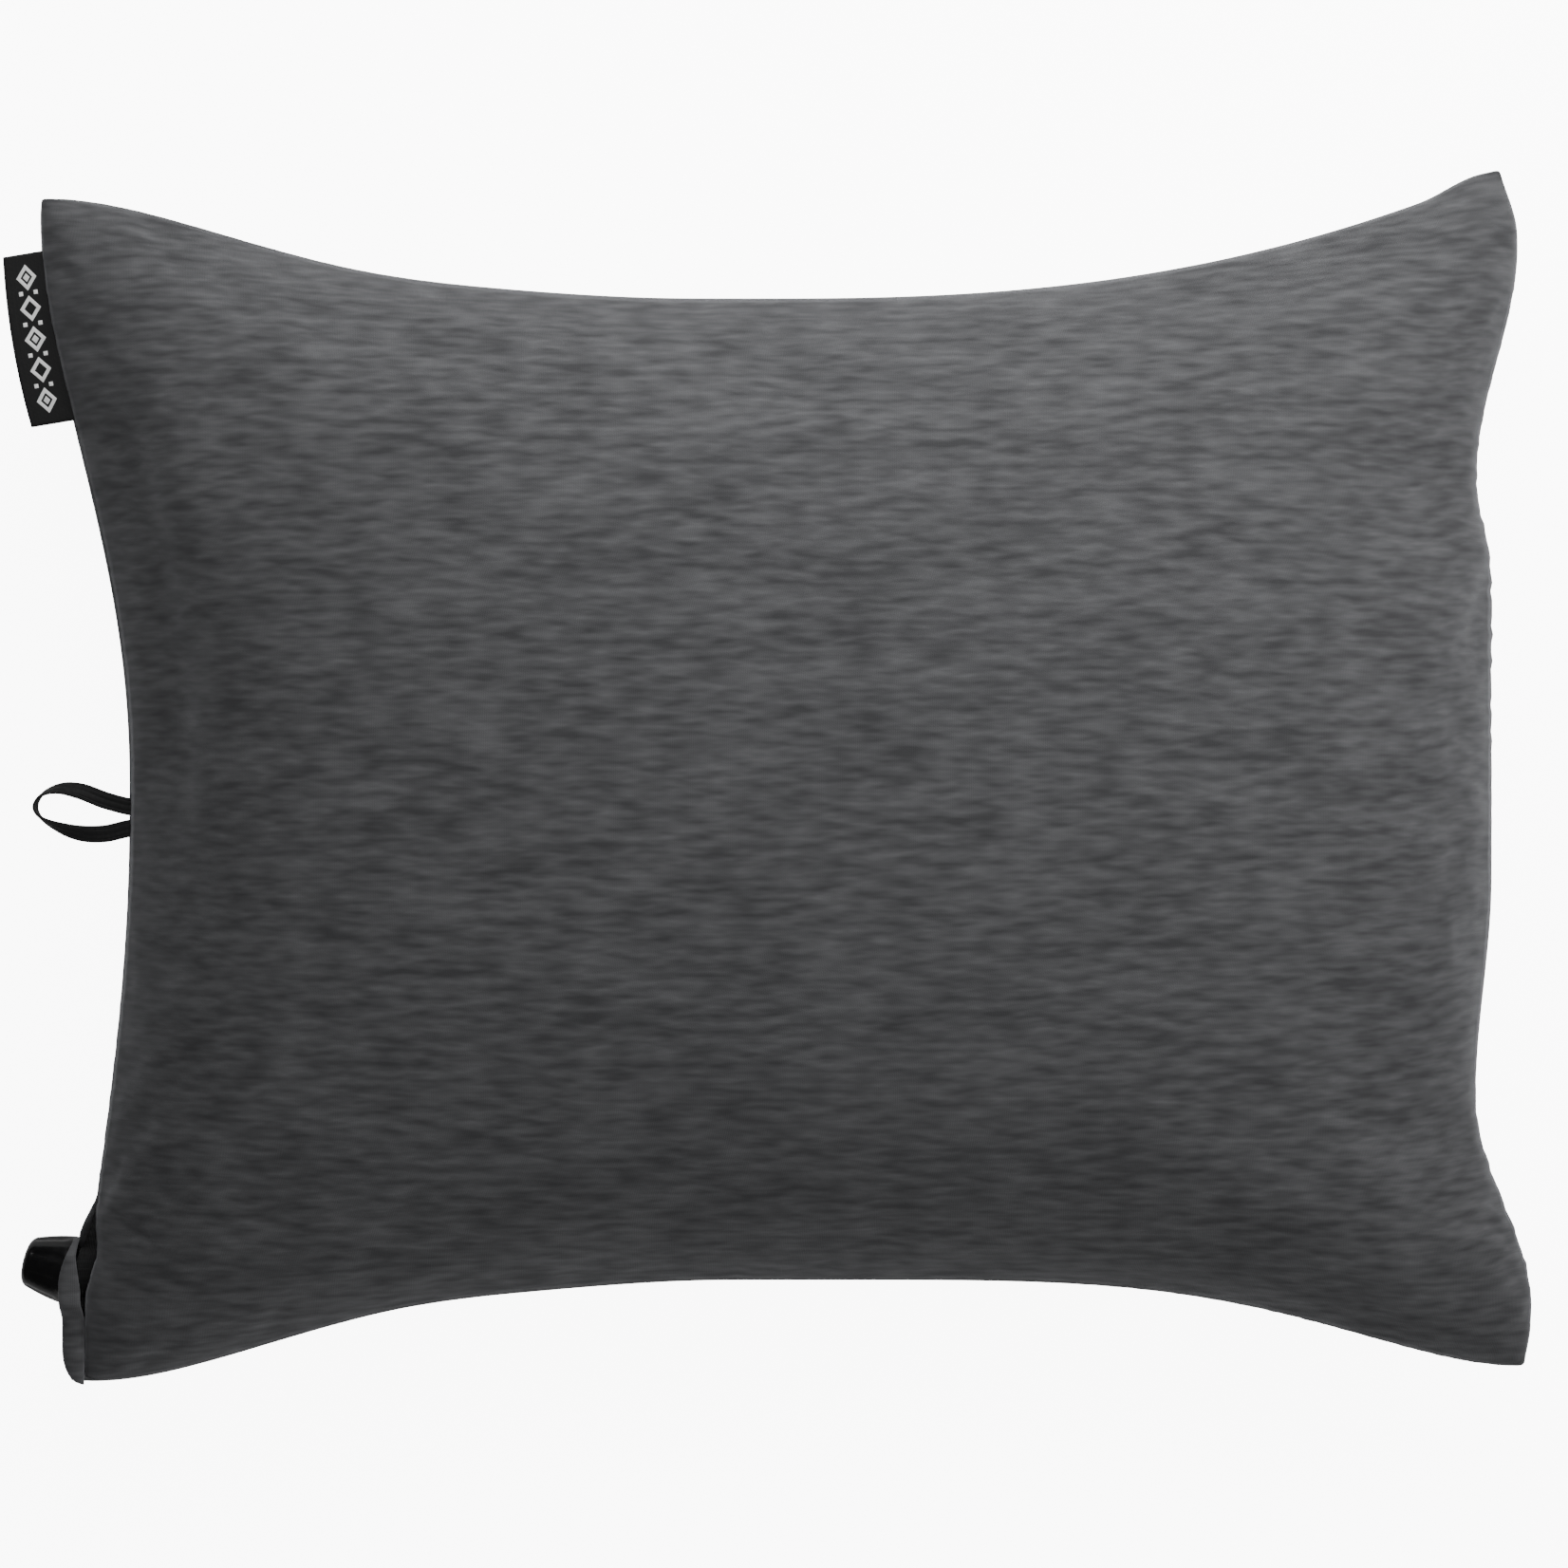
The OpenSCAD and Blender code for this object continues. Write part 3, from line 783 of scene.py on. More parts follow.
def pucker(piece, side):
    """Small gathers along the seams, ripples and a trough by the left seam. side is 1 for the front."""
    mesh = piece.data
    co = coordinates(mesh)
    out = read_rows(mesh.vertex_normals, "vector")
    x, y = co[:, 0] / MM, co[:, 1] / MM
    left, right, top, bottom = seam_distance(co)
    near = np.minimum(np.minimum(left, right), np.minimum(top, bottom))
    round_it = np.where(np.minimum(left, right) < np.minimum(top, bottom), y, x)
    fade = np.exp(-np.clip(near, 0, None) / 9.0) * np.clip(near / 2.0, 0, 1)
    push = 0.22 * fade * hash_wave(round_it / 1.5, 1.3 * side)
    # ripples that run in from the right seam
    ripple = np.exp(-np.clip(right, 0, None) / 13.0) * np.exp(-((y - 45) / 42) ** 2)
    push += 0.55 * ripple * hash_wave(y / 1.25 + right / 40, 0.4)
    low_ripple = np.exp(-np.clip(right, 0, None) / 16.0) * np.exp(-((y + 122) / 26) ** 2)
    push += 0.5 * low_ripple * hash_wave((y - 0.5 * right) / 1.6, 2.4)
    # creases that run up from the lower left corner
    crease = np.exp(-((x + 178) / 22) ** 2 - ((y + 128) / 22) ** 2)
    push += 0.7 * crease * hash_wave((x * 0.55 + y) / 2.4, 0.9)
    # the soft trough inboard of the left seam
    trough = np.exp(-((left - 15) / 10) ** 2) * np.exp(-((y - 45) / 75) ** 4)
    push -= (4.0 if side > 0 else 1.0) * trough
    write_coordinates(mesh, co + out * push[:, None] * MM)


def rest_on_floor(piece):
    """Flattens the back where it rests, softly at the patch's edge."""
    co = coordinates(piece.data)
    z = co[:, 2] / MM
    soft, low = 3.0, 0.02
    z = np.where(z > soft, z, soft * np.exp((z - soft) / soft))
    co[:, 2] = np.maximum(z - z.min() * np.exp(-z / 6.0) + low, low) * MM
    write_coordinates(piece.data, co)


def move(co, matrix):
    """Moves rows of coordinates by a matrix."""
    matrix = np.array(matrix)
    return co @ matrix[:3, :3].T + matrix[:3, 3]


def lay_zip_bed(piece):
    """Lets the cover into a shallow bed with raised lips, where the zip's tapes are sewn in."""
    own = move(coordinates(piece.data) / MM, zip_matrix().inverted())
    far = np.abs(own[:, 0])
    ends = np.clip((ZIP_HALF + 8 - np.abs(own[:, 1])) / 8, 0, 1)
    ends = ends * ends * (3 - 2 * ends)
    bed = np.clip((TAPE_OUT - far) / 2.0, 0, 1) * ends
    lip = np.clip((16.0 - far) / 7.0, 0, 1) * ends
    near = np.abs(own[:, 2]) < 14
    level = np.where(far < TAPE_OUT, mix(LIP_H, -0.9, bed), LIP_H)
    share = np.where(near, np.maximum(bed, lip * lip * (3 - 2 * lip)), 0)
    own[:, 2] = mix(own[:, 2], level, share)
    write_coordinates(piece.data, move(own, zip_matrix()) * MM)


def soft_piece(piece, body, anchor_z, slot, *nodes):
    """Gives a piece its own mesh, hangs it on its body and hides the CAD nodes that it replaces."""
    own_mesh(piece)
    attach(piece, body)
    if nodes:
        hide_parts(*nodes)


def tree_of(name):
    """The piece's faces, to measure heights by."""
    piece = bpy.data.objects[name]
    return BVHTree.FromPolygons([v.co for v in piece.data.vertices],
                                [tuple(p.vertices) for p in piece.data.polygons])


class PILLOW_OT_front_panel(bpy.types.Operator):
    """Makes the knit front panel, blown up over the foam"""
    bl_idname = "pillow.front_panel"
    bl_label = "Front Panel"

    def execute(self, context):
        sizes = context.scene.pillow_sizes
        piece = panel("front_panel", front_rest, sizes)
        co = coordinates(piece.data)
        top = (CROWN_H - 1.0 - SEAM_H) * MM
        over = co[:, 2] - SEAM_H * MM
        co[:, 2] = np.where(over > 0, SEAM_H * MM + over * top / over.max(), co[:, 2])
        write_coordinates(piece.data, co)
        chart_panel(piece)
        subdivide(piece)
        pucker(piece, 1)
        thicken(piece, sizes.knit / MM)
        soft_piece(piece, "crown", CROWN_TOP, "knit_cover", "cover_front_panel")
        return {"FINISHED"}


class PILLOW_OT_back_panel(bpy.types.Operator):
    """Makes the knit back panel, flat where it rests and let in for the zip"""
    bl_idname = "pillow.back_panel"
    bl_label = "Back Panel"

    def execute(self, context):
        sizes = context.scene.pillow_sizes
        piece = panel("back_panel", back_rest, sizes, turned=True)
        chart_panel(piece)
        subdivide(piece)
        pucker(piece, -1)
        rest_on_floor(piece)
        lay_zip_bed(piece)
        thicken(piece, sizes.knit / MM)
        soft_piece(piece, "back", 0.0, "knit_cover", "cover_back_panel")
        return {"FINISHED"}


# ---- Corner strip and gusset --------------------------------------------

STRIP_TOP = -133.5
STEM_COVER_R = 6.9      # of the gusset, over the valve's stem


def strip_left(y):
    """Left edge of the strip, from its tip by the valve round to the bottom corner."""
    rise = step((STRIP_TOP - y) / 13.0)
    end = min(1.0, max(0.0, (-165.0 - y) / 11.2))
    return mix(-205.6 - 3.4 * rise ** 0.8, -203.0, 1 - (1 - end ** 2.2) ** 0.5)


def strip_right(y):
    """The strip's sewn edge, which meets the gusset at its upper end."""
    return -204.1 + 1.35 * step((-138.0 - y) / 12.0)


class PILLOW_OT_corner_strip(bpy.types.Operator):
    """Makes the doubled knit strip over the valve's stem, its stitches and its bar tack"""
    bl_idname = "pillow.corner_strip"
    bl_label = "Corner Strip"

    def execute(self, context):
        bm = bmesh.new()

        def point(t, angle):
            y = mix(STRIP_TOP, BOTTOM_LEFT_Y, t)
            ends = max(0.0, min(1.0, 8 * t, 9 * (1 - t))) ** 0.5
            left, right = strip_left(y), strip_right(y)
            half = max(0.3, (right - left) / 2)
            over_cap = step((y + 158) / 7.0) * (1 - step((y + 139.0) / 6.0))
            middle = SEAM_H + 1.0 + 5.0 * over_cap
            thick = mix(2.3, 1.3, over_cap) * ends
            c, s = squarish(angle, 0.8, 0.8)
            return Vector((right - half + half * c, y, middle + max(0.25, thick) * s))

        swept(bm, 60, 24, point)
        close_up(bm)
        strip = finish_mesh(bm, "corner_strip", "heather_knit")
        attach(strip, "rim")
        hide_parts("cover_corner_strip")

        bm = bmesh.new()
        edge_h, tack_h = SEAM_H + 1.6, SEAM_H + 3.2
        thread_row(bm, lambda t: Vector((-203.1, mix(-148.5, -174.5, t), edge_h)), 13, 2.1, 0.45)
        for k in range(7):
            across = mix(-208.2, -203.6, k / 6)
            thread_row(bm, lambda t: Vector((across, mix(-155.2, -156.4, t), tack_h)), 1, 1.5, 0.5)
        threads = finish_mesh(bm, "corner_stitches", "black_webbing")
        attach(threads, "rim")
        return {"FINISHED"}


class PILLOW_OT_valve_gusset(bpy.types.Operator):
    """Makes the black stretch gusset that fills the seam's opening round the valve; its black stands in for
    the shade inside that opening as well
    """
    bl_idname = "pillow.valve_gusset"
    bl_label = "Valve Gusset"

    def execute(self, context):
        bm = bmesh.new()

        def at(a, b):
            y = mix(-125.5, -155.0, (a + 1) / 2)
            w = (b + 1) / 2
            lens = bell((y + 139.5) / 15.0) ** 0.6
            across = y - VALVE_AT.y
            over = VALVE_AT.z + math.sqrt(max(0.0, STEM_COVER_R ** 2 - across ** 2))
            inside = Vector((left_x(y / 175) + 2.2 + 1.6 * lens, y, SEAM_H + 0.4 + 1.6 * lens))
            low = Vector((back_seam_x(y) + 0.1, y, SEAM_H - 1.0 - 8.0 * lens))
            crest = inside.lerp(low, 0.8)
            crest.z = max(crest.z, over)
            if w < 0.6:
                return inside.lerp(crest, w / 0.6)
            return crest.lerp(low, (w - 0.6) / 0.4)

        patch(bm, 48, 20, at, lambda a, b: (a * 16, b * 6))
        # Painted shade: the gusset's black is partly its own colour and partly the shade of the seam's
        # opening round the valve.
        gusset = finish_mesh(bm, "valve_gusset_knit", "black_webbing")
        thicken(gusset, 0.7, 0.0)
        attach(gusset, "rim")
        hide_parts("valve_gusset")
        return {"FINISHED"}


# ---- Valve ---------------------------------------------------------------

CAP_TURN = math.radians(8)      # where the first flute of the cap stands
FLUTES, FLUTE_DEPTH = 8, 0.5
AIR_HOLES, HOLE_RING_R, HOLE_R = 3, 3.7, 1.0


class PILLOW_OT_valve(bpy.types.Operator):
    """Makes the tapered twist cap and finishes the valve's other parts"""
    bl_idname = "pillow.valve"
    bl_label = "Valve"

    def execute(self, context):
        base_r, end_r, length, round_r = 9.8, 7.3, 14.4, 2.9
        bm = bmesh.new()
        outer = [(5.9, 0.3), (base_r - 0.7, 0.3)]
        outer += arc(base_r - 0.6, 0.9, 0.6, -90, 0, 4)[1:]
        for k in range(11):
            t = k / 10
            outer.append((base_r - 0.3 * t - 1.9 * t ** 1.5, mix(1.5, 11.6, t)))
        outer += arc(end_r - round_r + 0.2, length - round_r, round_r, 12, 90, 8)
        outer += [(2.2, length), (1.9, length - 0.5), (0.0, length - 0.6)]
        inside = [(0.0, 9.2), (5.5, 9.2), (5.9, 8.8)]
        spun(bm, outer + inside, 120)
        for v in bm.verts:
            radius = math.hypot(v.co.x, v.co.y)
            if radius > 6.1 and v.co.z > 2.0:
                turn = (math.atan2(v.co.y, v.co.x) - CAP_TURN) * FLUTES / 2
                cut = FLUTE_DEPTH * abs(math.sin(turn)) ** 6 * step((v.co.z - 2.0) / 2.5)
                cut *= 1 - step((v.co.z - 11.0) / 2.6)
                v.co.x *= 1 - cut / radius
                v.co.y *= 1 - cut / radius
        cap = finish_mesh(bm, "twist_cap", "black_plastic", valve_matrix())
        self.air_holes(cap)
        cap.data.set_sharp_from_angle(angle=math.radians(38))
        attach(cap, "valve_cap")
        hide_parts("valve_cap")
        for node in ("valve_base", "valve_plunger"):
            repaint(node, "black_plastic")
        repaint("valve_o_ring", "seal_rubber")
        return {"FINISHED"}

    def air_holes(self, cap):
        """Cuts the holes that let the air out through the cap's end."""
        bm = bmesh.new()
        for k in range(AIR_HOLES):
            turn = 2 * math.pi * k / AIR_HOLES
            place = Matrix.Translation((HOLE_RING_R * math.cos(turn), HOLE_RING_R * math.sin(turn), 12.0))
            bmesh.ops.create_cone(bm, cap_ends=True, segments=24, radius1=HOLE_R, radius2=HOLE_R,
                                  depth=8.0, matrix=place)
        tool = finish_mesh(bm, "air_hole_tool", matrix=valve_matrix())
        cut = cap.modifiers.new("holes", "BOOLEAN")
        cut.object = tool
        cut.solver = "EXACT"
        settle(cap)
        bpy.data.objects.remove(tool)


def repaint(node, name):
    """Gives a CAD node a better material."""
    material = finish_named(name)
    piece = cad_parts[node]
    if not piece.material_slots:
        piece.data.materials.append(material)
    for place in piece.material_slots:
        place.material = material


# ---- Label and hang loop -------------------------------------------------

LABEL_OUT, LABEL_IN = 13.3, 4.0     # how far the label reaches out of the seam, and in
LABEL_HALF = 24.9                   # half of its length along the seam
LABEL_BOW = 1.4                     # how much its ends hang back
FOLD_R = 0.55
FOLD_TURN = math.pi * FOLD_R
LABEL_REACH = LABEL_OUT + LABEL_IN - FOLD_R
LABEL_GIRTH = 2 * LABEL_REACH + FOLD_TURN
DIAMONDS, DIAMOND_PITCH = 5, 9.0
DIAMOND_X, DIAMOND_WIDE, DIAMOND_LONG = -6.4, 3.1, 3.8
DOT_OUT, DOT_HALF = 2.2, 0.6
THREAD_LOW, THREAD_RISE = 0.06, 0.16


def sheet_point(s, y, proud=0.0):
    """A point of the label's sheet, in its own axes, raised proud of it.

    s runs from -1, the lower layer's sewn edge, round the fold at 0 to 1, the upper layer's."""
    d = s * LABEL_GIRTH / 2
    bend = LABEL_BOW * (y / LABEL_HALF) ** 2
    droop = 0.5 * math.cos(y / LABEL_HALF * 1.4)
    if abs(d) <= FOLD_TURN / 2:
        angle = d / FOLD_R
        x = -LABEL_OUT + FOLD_R - (FOLD_R + proud) * math.cos(angle)
        z = (FOLD_R + proud) * math.sin(angle)
    else:
        x = -LABEL_OUT + FOLD_R + (abs(d) - FOLD_TURN / 2)
        z = math.copysign(FOLD_R + proud, d)
    away = min(max(-x / LABEL_OUT, 0), 1)
    return Vector((x + bend * away, y, z + droop * (away - 0.5)))


def on_label(x, y, bulging):
    """A point of the upper layer's raised threads, whose height is least where bulging is 0."""
    d = (x + LABEL_OUT - FOLD_R) + FOLD_TURN / 2
    return sheet_point(2 * d / LABEL_GIRTH, y, THREAD_LOW + THREAD_RISE * bulging)


class PILLOW_OT_side_label(bpy.types.Operator):
    """Makes the folded woven label with its row of plain diamonds"""
    bl_idname = "pillow.side_label"
    bl_label = "Side Label"

    def execute(self, context):
        bm = bmesh.new()
        patch(bm, 56, 48, lambda a, b: sheet_point(a, b * LABEL_HALF),
              lambda a, b: (a * 15.5, b * LABEL_HALF))
        label = finish_mesh(bm, "folded_label", "label_weave", label_matrix())
        thicken(label, 0.32)
        bm = bmesh.new()
        self.diamonds(bm)
        threads = finish_mesh(bm, "label_diamonds", "label_thread", label_matrix())
        for piece in (label, threads):
            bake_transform(piece)
        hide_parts("side_label")
        return {"FINISHED"}

    def diamonds(self, bm):
        """Raised diamonds, outlined and filled by turns, with a pair of dots between."""
        corners = [(1, 0), (0, 1), (-1, 0), (0, -1), (1, 0)]

        def band(centre, inner_share, outer_share):
            def at(a, b):
                side = (a + 1) * 2
                k = min(int(side), 3)
                cx, cy = (mix(c, d, side - k) for c, d in zip(corners[k], corners[k + 1]))
                share = mix(inner_share, outer_share, (b + 1) / 2)
                return on_label(DIAMOND_X + DIAMOND_WIDE * cx * share,
                                centre + DIAMOND_LONG * cy * share, 1 - b * b)

            patch(bm, 32, 6, at, lambda a, b: (a * 6, b * 1.5))

        for k in range(DIAMONDS):
            centre = (k - (DIAMONDS - 1) / 2) * DIAMOND_PITCH
            band(centre, 0.58, 1.0)
            if k % 2 == 0:
                band(centre, 0.02, 0.34)
        for k in range(DIAMONDS - 1):
            dot_y = (k - (DIAMONDS - 2) / 2) * DIAMOND_PITCH
            for side in (-1, 1):
                def dot(a, b):
                    return on_label(DIAMOND_X + DOT_OUT * side + DOT_HALF * a, dot_y + DOT_HALF * b,
                                    1 - max(abs(a), abs(b)) ** 2)

                patch(bm, 6, 6, dot, lambda a, b: (a, b))


class PILLOW_OT_hang_loop(bpy.types.Operator):
    """Makes the flat webbing loop, turned on edge round its bend"""
    bl_idname = "pillow.hang_loop"
    bl_label = "Hang Loop"

    def execute(self, context):
        line = [Vector((x, y, 0)) for x, y in [(-186.0, -9.4), *LOOP_LINE, (-186.0, -15.0)]]
        band, thick = 5.0, 1.0
        bm = bmesh.new()

        def point(t, angle):
            here = curve_point(line, t)
            ahead = curve_point(line, min(t + 0.004, 1)) - curve_point(line, max(t - 0.004, 0))
            across = Vector((-ahead.y, ahead.x, 0)).normalized()
            turn = math.pi / 2 * step(1 - abs(t - 0.5) / 0.38)
            wide = across * math.cos(turn) + Vector((0, 0, 1)) * math.sin(turn)
            up = across * -math.sin(turn) + Vector((0, 0, 1)) * math.cos(turn)
            c, s = squarish(angle, 0.45, 0.7)
            sag = 0.6 * math.sin(math.pi * t) ** 2
            return here + Vector((0, 0, SEAM_H - sag)) + wide * c * band / 2 + up * s * thick / 2

        swept(bm, 150, 32, point, 66.0, 2 * (band + thick))
        close_up(bm)
        loop = finish_mesh(bm, "webbing_loop", "black_webbing")
        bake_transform(loop)
        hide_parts("hang_loop")
        return {"FINISHED"}


# ---- Zip -----------------------------------------------------------------

ZIP_HALF = 78.0
SLIDER_Y = -ZIP_HALF + 10.0
TAPE_IN, TAPE_OUT = 1.0, 8.2
LIP_H = 1.3             # how high the cover's lips stand beside the tapes
COIL_PITCH, COIL_STEPS, COIL_WIRE_R = 1.3, 12, 0.3


class PILLOW_OT_zip(bpy.types.Operator):
    """Makes the zip's tapes, stitches and coils, and finishes its slider, pull and stops"""
    bl_idname = "pillow.zip"
    bl_label = "Zip"

    def execute(self, context):
        for side, name in ((1, "front"), (-1, "back")):
            self.tape(side, name)
            self.coil(side, name)
        self.lip_stitches()
        for node in ("zip_slider", "zip_pull"):
            repaint(node, "zip_enamel")
        for node in ("zip_top_stops", "zip_bottom_stop"):
            repaint(node, "coil_nylon")
        return {"FINISHED"}

    def tape(self, side, name):
        bm = bmesh.new()

        def at(a, b):
            x = side * mix(TAPE_IN, TAPE_OUT, (a + 1) / 2)
            return Vector((x, b * ZIP_HALF, 0.12 * math.sin(b * 23 + side)))

        patch(bm, 10, 90, at, lambda a, b: (b * ZIP_HALF, a * 3.6))
        if side < 0:
            bmesh.ops.reverse_faces(bm, faces=bm.faces)
        piece = finish_mesh(bm, "zip_tape_" + name + "_cloth", "zip_weave", zip_matrix())
        thicken(piece, 0.5, 0.0)
        soft_piece(piece, "back", 0.0, "zip_tape", "zip_tape_" + name)

    def coil(self, side, name):
        start, end = SLIDER_Y - 1.5, ZIP_HALF - 3.0
        turns = int((end - start) / COIL_PITCH)
        bm = bmesh.new()

        def middle(t):
            turn = 2 * math.pi * turns * t + (0 if side > 0 else math.pi)
            reach = 1.15 * math.cos(turn)
            head = 1.0 if math.cos(turn) * side < 0 else 0.0
            return Vector((side * 1.3 + reach - side * 0.15 * head, mix(start, end, t),
                           1.1 + 0.55 * math.sin(turn)))

        def point(t, angle):
            here = middle(t)
            ahead = (middle(min(t + 0.0002, 1)) - middle(max(t - 0.0002, 0))).normalized()
            out = ahead.cross(Vector((0, 1, 0))).normalized()
            up = ahead.cross(out)
            return here + (out * math.cos(angle) + up * math.sin(angle)) * COIL_WIRE_R

        swept(bm, turns * COIL_STEPS, 6, point, 600.0, 2.0)
        close_up(bm)
        piece = finish_mesh(bm, "zip_coil_" + name + "_wound", "coil_nylon", zip_matrix())
        soft_piece(piece, "back", 0.0, "zip_coil", "zip_coil_" + name)

    def lip_stitches(self):
        bm = bmesh.new()
        for side in (-1, 1):
            thread_row(bm, lambda t: Vector((side * 10.2, mix(-80, 80, t), 1.75)), 64, 1.9, 0.5)
        piece = finish_mesh(bm, "zip_stitches", "black_webbing", zip_matrix())
        soft_piece(piece, "back", 0.0, "webbing")


# ---- Inside --------------------------------------------------------------

FILM_THICK = 0.4


class PILLOW_OT_inside(bpy.types.Operator):
    """Makes the foam, the bladder's films and webs, and the blank care label"""
    bl_idname = "pillow.inside"
    bl_label = "Foam and Bladder"

    def execute(self, context):
        front, back = tree_of("front_panel"), tree_of("back_panel")

        def roof(x, y, gap=0.0):
            """Highest that a layer may reach a gap below the front panel, in mm."""
            return self.cover_at(front, x, y, 1) - 0.6 - gap

        def ground(x, y, gap):
            """Lowest that a layer may reach a gap above the back panel, in mm."""
            return self.cover_at(back, x, y, -1) + 0.3 + gap

        def foam_foot(a, b, x, y):
            inset = FOAM_SHARE / FILM_SHARE
            return min(film_up(a * inset, b * inset) + 0.9, roof(x, y, 1.5))

        foam = self.slab("foam_pad", "open_foam", FOAM_SHARE, lambda a, b, x, y: roof(x, y), foam_foot)
        soft_piece(foam, "crown", CROWN_TOP, "open_cell_foam", "foam_topper")
        upper = self.slab("film_upper", "bladder_film", FILM_SHARE,
                          lambda a, b, x, y: min(film_up(a, b) + FILM_THICK, roof(x, y, 2.2)),
                          lambda a, b, x, y: min(film_up(a, b), roof(x, y, 2.6)))
        soft_piece(upper, "crown", CROWN_TOP, "coated_film", "bladder_top_film")
        lower = self.slab("film_lower", "bladder_film", FILM_SHARE,
                          lambda a, b, x, y: max(film_down(a, b), ground(x, y, 1.2)),
                          lambda a, b, x, y: max(film_down(a, b) - FILM_THICK, ground(x, y, 0.8)))
        soft_piece(lower, "back", 0.0, "coated_film", "bladder_bottom_film")
        for number in (1, 2, 3):
            soft_piece(self.web(number), "crown", CROWN_TOP, "coated_film", "bladder_web_%d" % number)
        soft_piece(self.care(), "back", 0.0, "care_tape", "care_label")
        return {"FINISHED"}

    def cover_at(self, tree, x, y, way):
        """Height of the cover above (way 1) or below (way -1) a place in the seam's plane, in mm."""
        hit = tree.ray_cast(Vector((x, y, SEAM_H)) * MM, Vector((0, 0, way)))[0]
        return hit.z / MM if hit else SEAM_H

    def slab(self, name, material, share, top, bottom):
        """A closed layer between two heights."""
        bm = bmesh.new()

        def layer(height):
            def at(a, b):
                a, b = spaced(a), spaced(b)
                x, y = plan(*inner(a, b, share))
                return Vector((x, y, height(a, b, x, y)))

            return patch(bm, 44, 34, at, lambda a, b: (spaced(a) * 200, spaced(b) * 150))

        layer(top)
        lower = layer(bottom)
        bmesh.ops.reverse_faces(bm, faces=list({f for v in lower for f in v.link_faces}))
        bmesh.ops.bridge_loops(bm, edges=[e for e in bm.edges if e.is_boundary])
        bmesh.ops.recalc_face_normals(bm, faces=bm.faces)
        return finish_mesh(bm, name, material)

    def web(self, number):
        b = 1.1 * (number - 2) / 3
        bm = bmesh.new()

        def at(a, w):
            along = 0.78 * spaced(a)
            x, y = plan(*inner(along, b, FILM_SHARE))
            low, high = film_down(along, b) + 0.6, film_up(along, b) - 0.6
            return Vector((x, y + 0.6 * math.sin(9 * along), mix(low, high, (w + 1) / 2)))

        patch(bm, 60, 12, at, lambda a, w: (a * 160, w * 40))
        piece = finish_mesh(bm, "tie_web_%d" % number, "bladder_film")
        thicken(piece, 0.5, 0.0)
        return piece

    def care(self):
        bm = bmesh.new()

        def at(a, b):
            u, v = mix(0.82, 0.95, (a + 1) / 2), mix(-0.1, 0.14, (b + 1) / 2)
            x, y = plan(u, v)
            return Vector((x, y, 44.8 - 47.8 * bulge(u, 2.4, 0.6) * bulge(v, 2.4, 0.6) + 2.1))

        patch(bm, 20, 24, at)
        piece = finish_mesh(bm, "care_tab", "care_satin")
        thicken(piece, 0.3, 0.0)
        return piece


# ---- Stage ---------------------------------------------------------------

FLOOR_HALF = 6000           # in mm
LIGHT_AIM = (0.0, 0.0, 0.04)
# Each light's place, and its width and height, in metres
LIGHTS = (("key", (0.17, 0.44, 0.5), (1.0, 0.35)), ("rim", (1.4, 0.15, 0.16), (0.8, 0.25)),
          ("fill", (0.0, -1.4, 0.18), (1.6, 0.25)))
CAMERA_AT = (-0.0003, -0.0025)
SENSOR = 36.0


def area_light(name, place, size, power):
    data = bpy.data.lights.new(name, "AREA")
    data.shape = "RECTANGLE"
    data.size, data.size_y = size
    data.energy = power
    lamp = bpy.data.objects.new(name, data)
    lamp.location = place
    lamp.rotation_euler = (Vector(LIGHT_AIM) - Vector(place)).to_track_quat("-Z", "Y").to_euler()
    lamp.visible_camera = False
    bpy.context.scene.collection.objects.link(lamp)


class PILLOW_OT_stage(bpy.types.Operator):
    """Makes the pale floor, the soft lights and the camera straight above"""
    bl_idname = "pillow.stage"
    bl_label = "Stage"

    def execute(self, context):
        stage = context.scene.pillow_stage
        bm = bmesh.new()
        bmesh.ops.create_grid(bm, x_segments=8, y_segments=8, size=FLOOR_HALF)
        floor = finish_mesh(bm, "floor")
        floor.data.materials.append(pale_floor(stage))
        for name, place, size in LIGHTS:
            area_light(name, place, size, getattr(stage, name + "_power"))
        world = bpy.data.worlds.new("studio")
        world.use_nodes = True
        sky = world.node_tree.nodes["Background"]
        sky.inputs["Color"].default_value = grey(1.0)
        sky.inputs["Strength"].default_value = stage.world_strength
        context.scene.world = world
        data = bpy.data.cameras.new("camera")
        data.sensor_width = SENSOR
        data.lens = SENSOR * stage.camera_height / stage.field
        camera = bpy.data.objects.new("camera", data)
        camera.location = (*CAMERA_AT, SEAM_H * MM + stage.camera_height)
        context.scene.collection.objects.link(camera)
        context.scene.camera = camera
        return {"FINISHED"}


# ---- Properties and panel ------------------------------------------------

class PillowSizes(bpy.types.PropertyGroup):
    """Sizes that a user would change"""
    knit: bpy.props.FloatProperty(name="Knit Thickness", description="Thickness of the cover's knit",
                                  default=0.001, min=0.0004, max=0.0014, unit="LENGTH")
    slack: bpy.props.FloatProperty(name="Starting Fullness", description="Share of the full height before "
                                   "the air goes in", default=0.94, min=0.5, max=1.0, subtype="FACTOR")
    pressure: bpy.props.FloatProperty(name="Air Pressure", description="Push of the air on the cover",
                                      default=4.0, min=0.0, max=20.0)


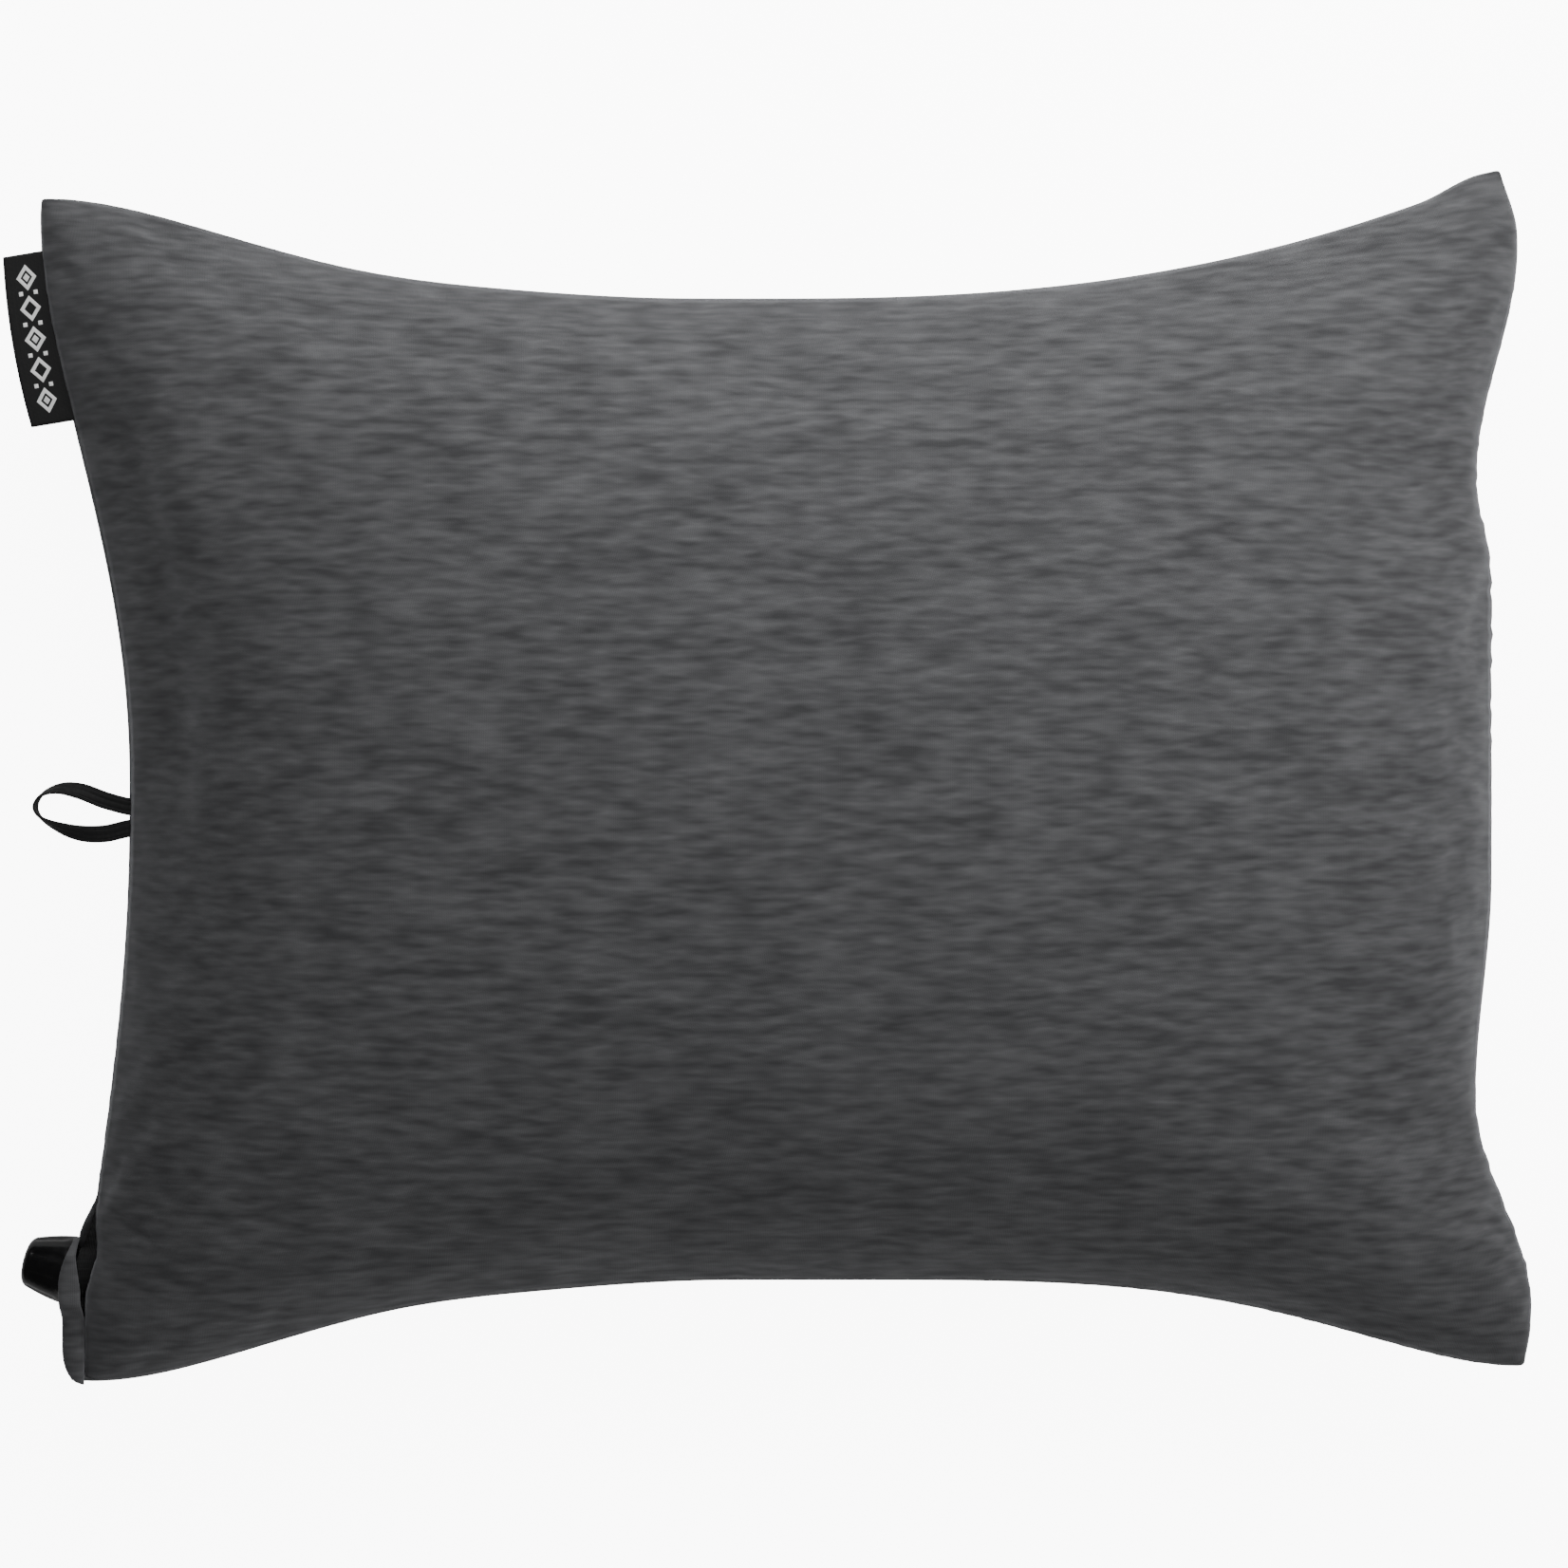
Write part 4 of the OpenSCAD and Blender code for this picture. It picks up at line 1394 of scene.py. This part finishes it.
class PillowColours(bpy.types.PropertyGroup):
    """Colours that a user would change"""
    knit_dark: bpy.props.FloatVectorProperty(name="Knit, Dark Yarn", description="Dark yarn of the heather",
                                             default=(0.040, 0.0403, 0.0425), subtype="COLOR", size=3)
    knit_light: bpy.props.FloatVectorProperty(name="Knit, Light Yarn",
                                              description="Light yarn of the heather",
                                              default=(0.092, 0.0928, 0.0965), subtype="COLOR", size=3)
    sheen: bpy.props.FloatProperty(name="Fuzz", description="Strength of the knit's light fuzz",
                                   default=0.25, min=0.0, max=1.0, subtype="FACTOR")
    webbing: bpy.props.FloatVectorProperty(name="Webbing", description="Black of the loop and the label",
                                           default=(0.003, 0.003, 0.0032), subtype="COLOR", size=3)
    label_thread: bpy.props.FloatVectorProperty(name="Label Thread",
                                                description="Pale thread of the diamonds",
                                                default=(0.92, 0.92, 0.91), subtype="COLOR", size=3)
    plastic: bpy.props.FloatVectorProperty(name="Valve Plastic", description="Black of the valve",
                                           default=(0.0022, 0.0022, 0.0024), subtype="COLOR", size=3)
    foam: bpy.props.FloatVectorProperty(name="Foam", description="Cream of the foam topper",
                                        default=(0.72, 0.68, 0.55), subtype="COLOR", size=3)
    film: bpy.props.FloatVectorProperty(name="Bladder Film", description="Tan of the coated film",
                                        default=(0.35, 0.33, 0.25), subtype="COLOR", size=3)


class PillowStage(bpy.types.PropertyGroup):
    """Light and camera"""
    key_power: bpy.props.FloatProperty(name="Key Light", description="Power of the light from the top side",
                                       default=9.4, min=0.0, subtype="POWER")
    rim_power: bpy.props.FloatProperty(name="Rim Light",
                                       description="Power of the low light from the right",
                                       default=2.5, min=0.0, subtype="POWER")
    fill_power: bpy.props.FloatProperty(name="Fill Light",
                                        description="Power of the light from the bottom side",
                                        default=11.0, min=0.0, subtype="POWER")
    world_strength: bpy.props.FloatProperty(name="Surroundings", description="Brightness all round",
                                            default=0.1, min=0.0)
    floor_glow: bpy.props.FloatProperty(name="Floor Glow", description="Glow of the floor as it is seen",
                                        default=9.0, min=0.0)
    camera_height: bpy.props.FloatProperty(name="Camera Height", description="Height above the seam",
                                           default=0.9, min=0.3, unit="LENGTH")
    field: bpy.props.FloatProperty(name="Field", description="Width that the camera sees at the seam",
                                   default=0.454, min=0.1, unit="LENGTH")


PIECES = (PILLOW_OT_front_panel, PILLOW_OT_back_panel, PILLOW_OT_corner_strip, PILLOW_OT_valve_gusset,
          PILLOW_OT_valve, PILLOW_OT_side_label, PILLOW_OT_hang_loop, PILLOW_OT_zip, PILLOW_OT_inside,
          PILLOW_OT_stage)


class PILLOW_PT_sidebar(bpy.types.Panel):
    """Lists the pillow's pieces and settings"""
    bl_idname = "PILLOW_PT_sidebar"
    bl_label = "Camp Pillow"
    bl_space_type = "VIEW_3D"
    bl_region_type = "UI"
    bl_category = "Camp Pillow"

    def draw(self, context):
        for group in (context.scene.pillow_sizes, context.scene.pillow_colours, context.scene.pillow_stage):
            box = self.layout.box()
            for name in group.__annotations__:
                box.prop(group, name)
        for operator in PIECES:
            self.layout.operator(operator.bl_idname)


GROUPS = (("pillow_sizes", PillowSizes), ("pillow_colours", PillowColours), ("pillow_stage", PillowStage))


def register():
    for name, group in GROUPS:
        bpy.utils.register_class(group)
        setattr(bpy.types.Scene, name, bpy.props.PointerProperty(type=group))
    for operator in PIECES:
        bpy.utils.register_class(operator)
    bpy.utils.register_class(PILLOW_PT_sidebar)


def unregister():
    bpy.utils.unregister_class(PILLOW_PT_sidebar)
    for operator in reversed(PIECES):
        bpy.utils.unregister_class(operator)
    for name, group in reversed(GROUPS):
        delattr(bpy.types.Scene, name)
        bpy.utils.unregister_class(group)


def main():
    register()
    for operator in PIECES:
        kind, name = operator.bl_idname.split(".")
        getattr(getattr(bpy.ops, kind), name)()


if __name__ == "__main__":
    main()
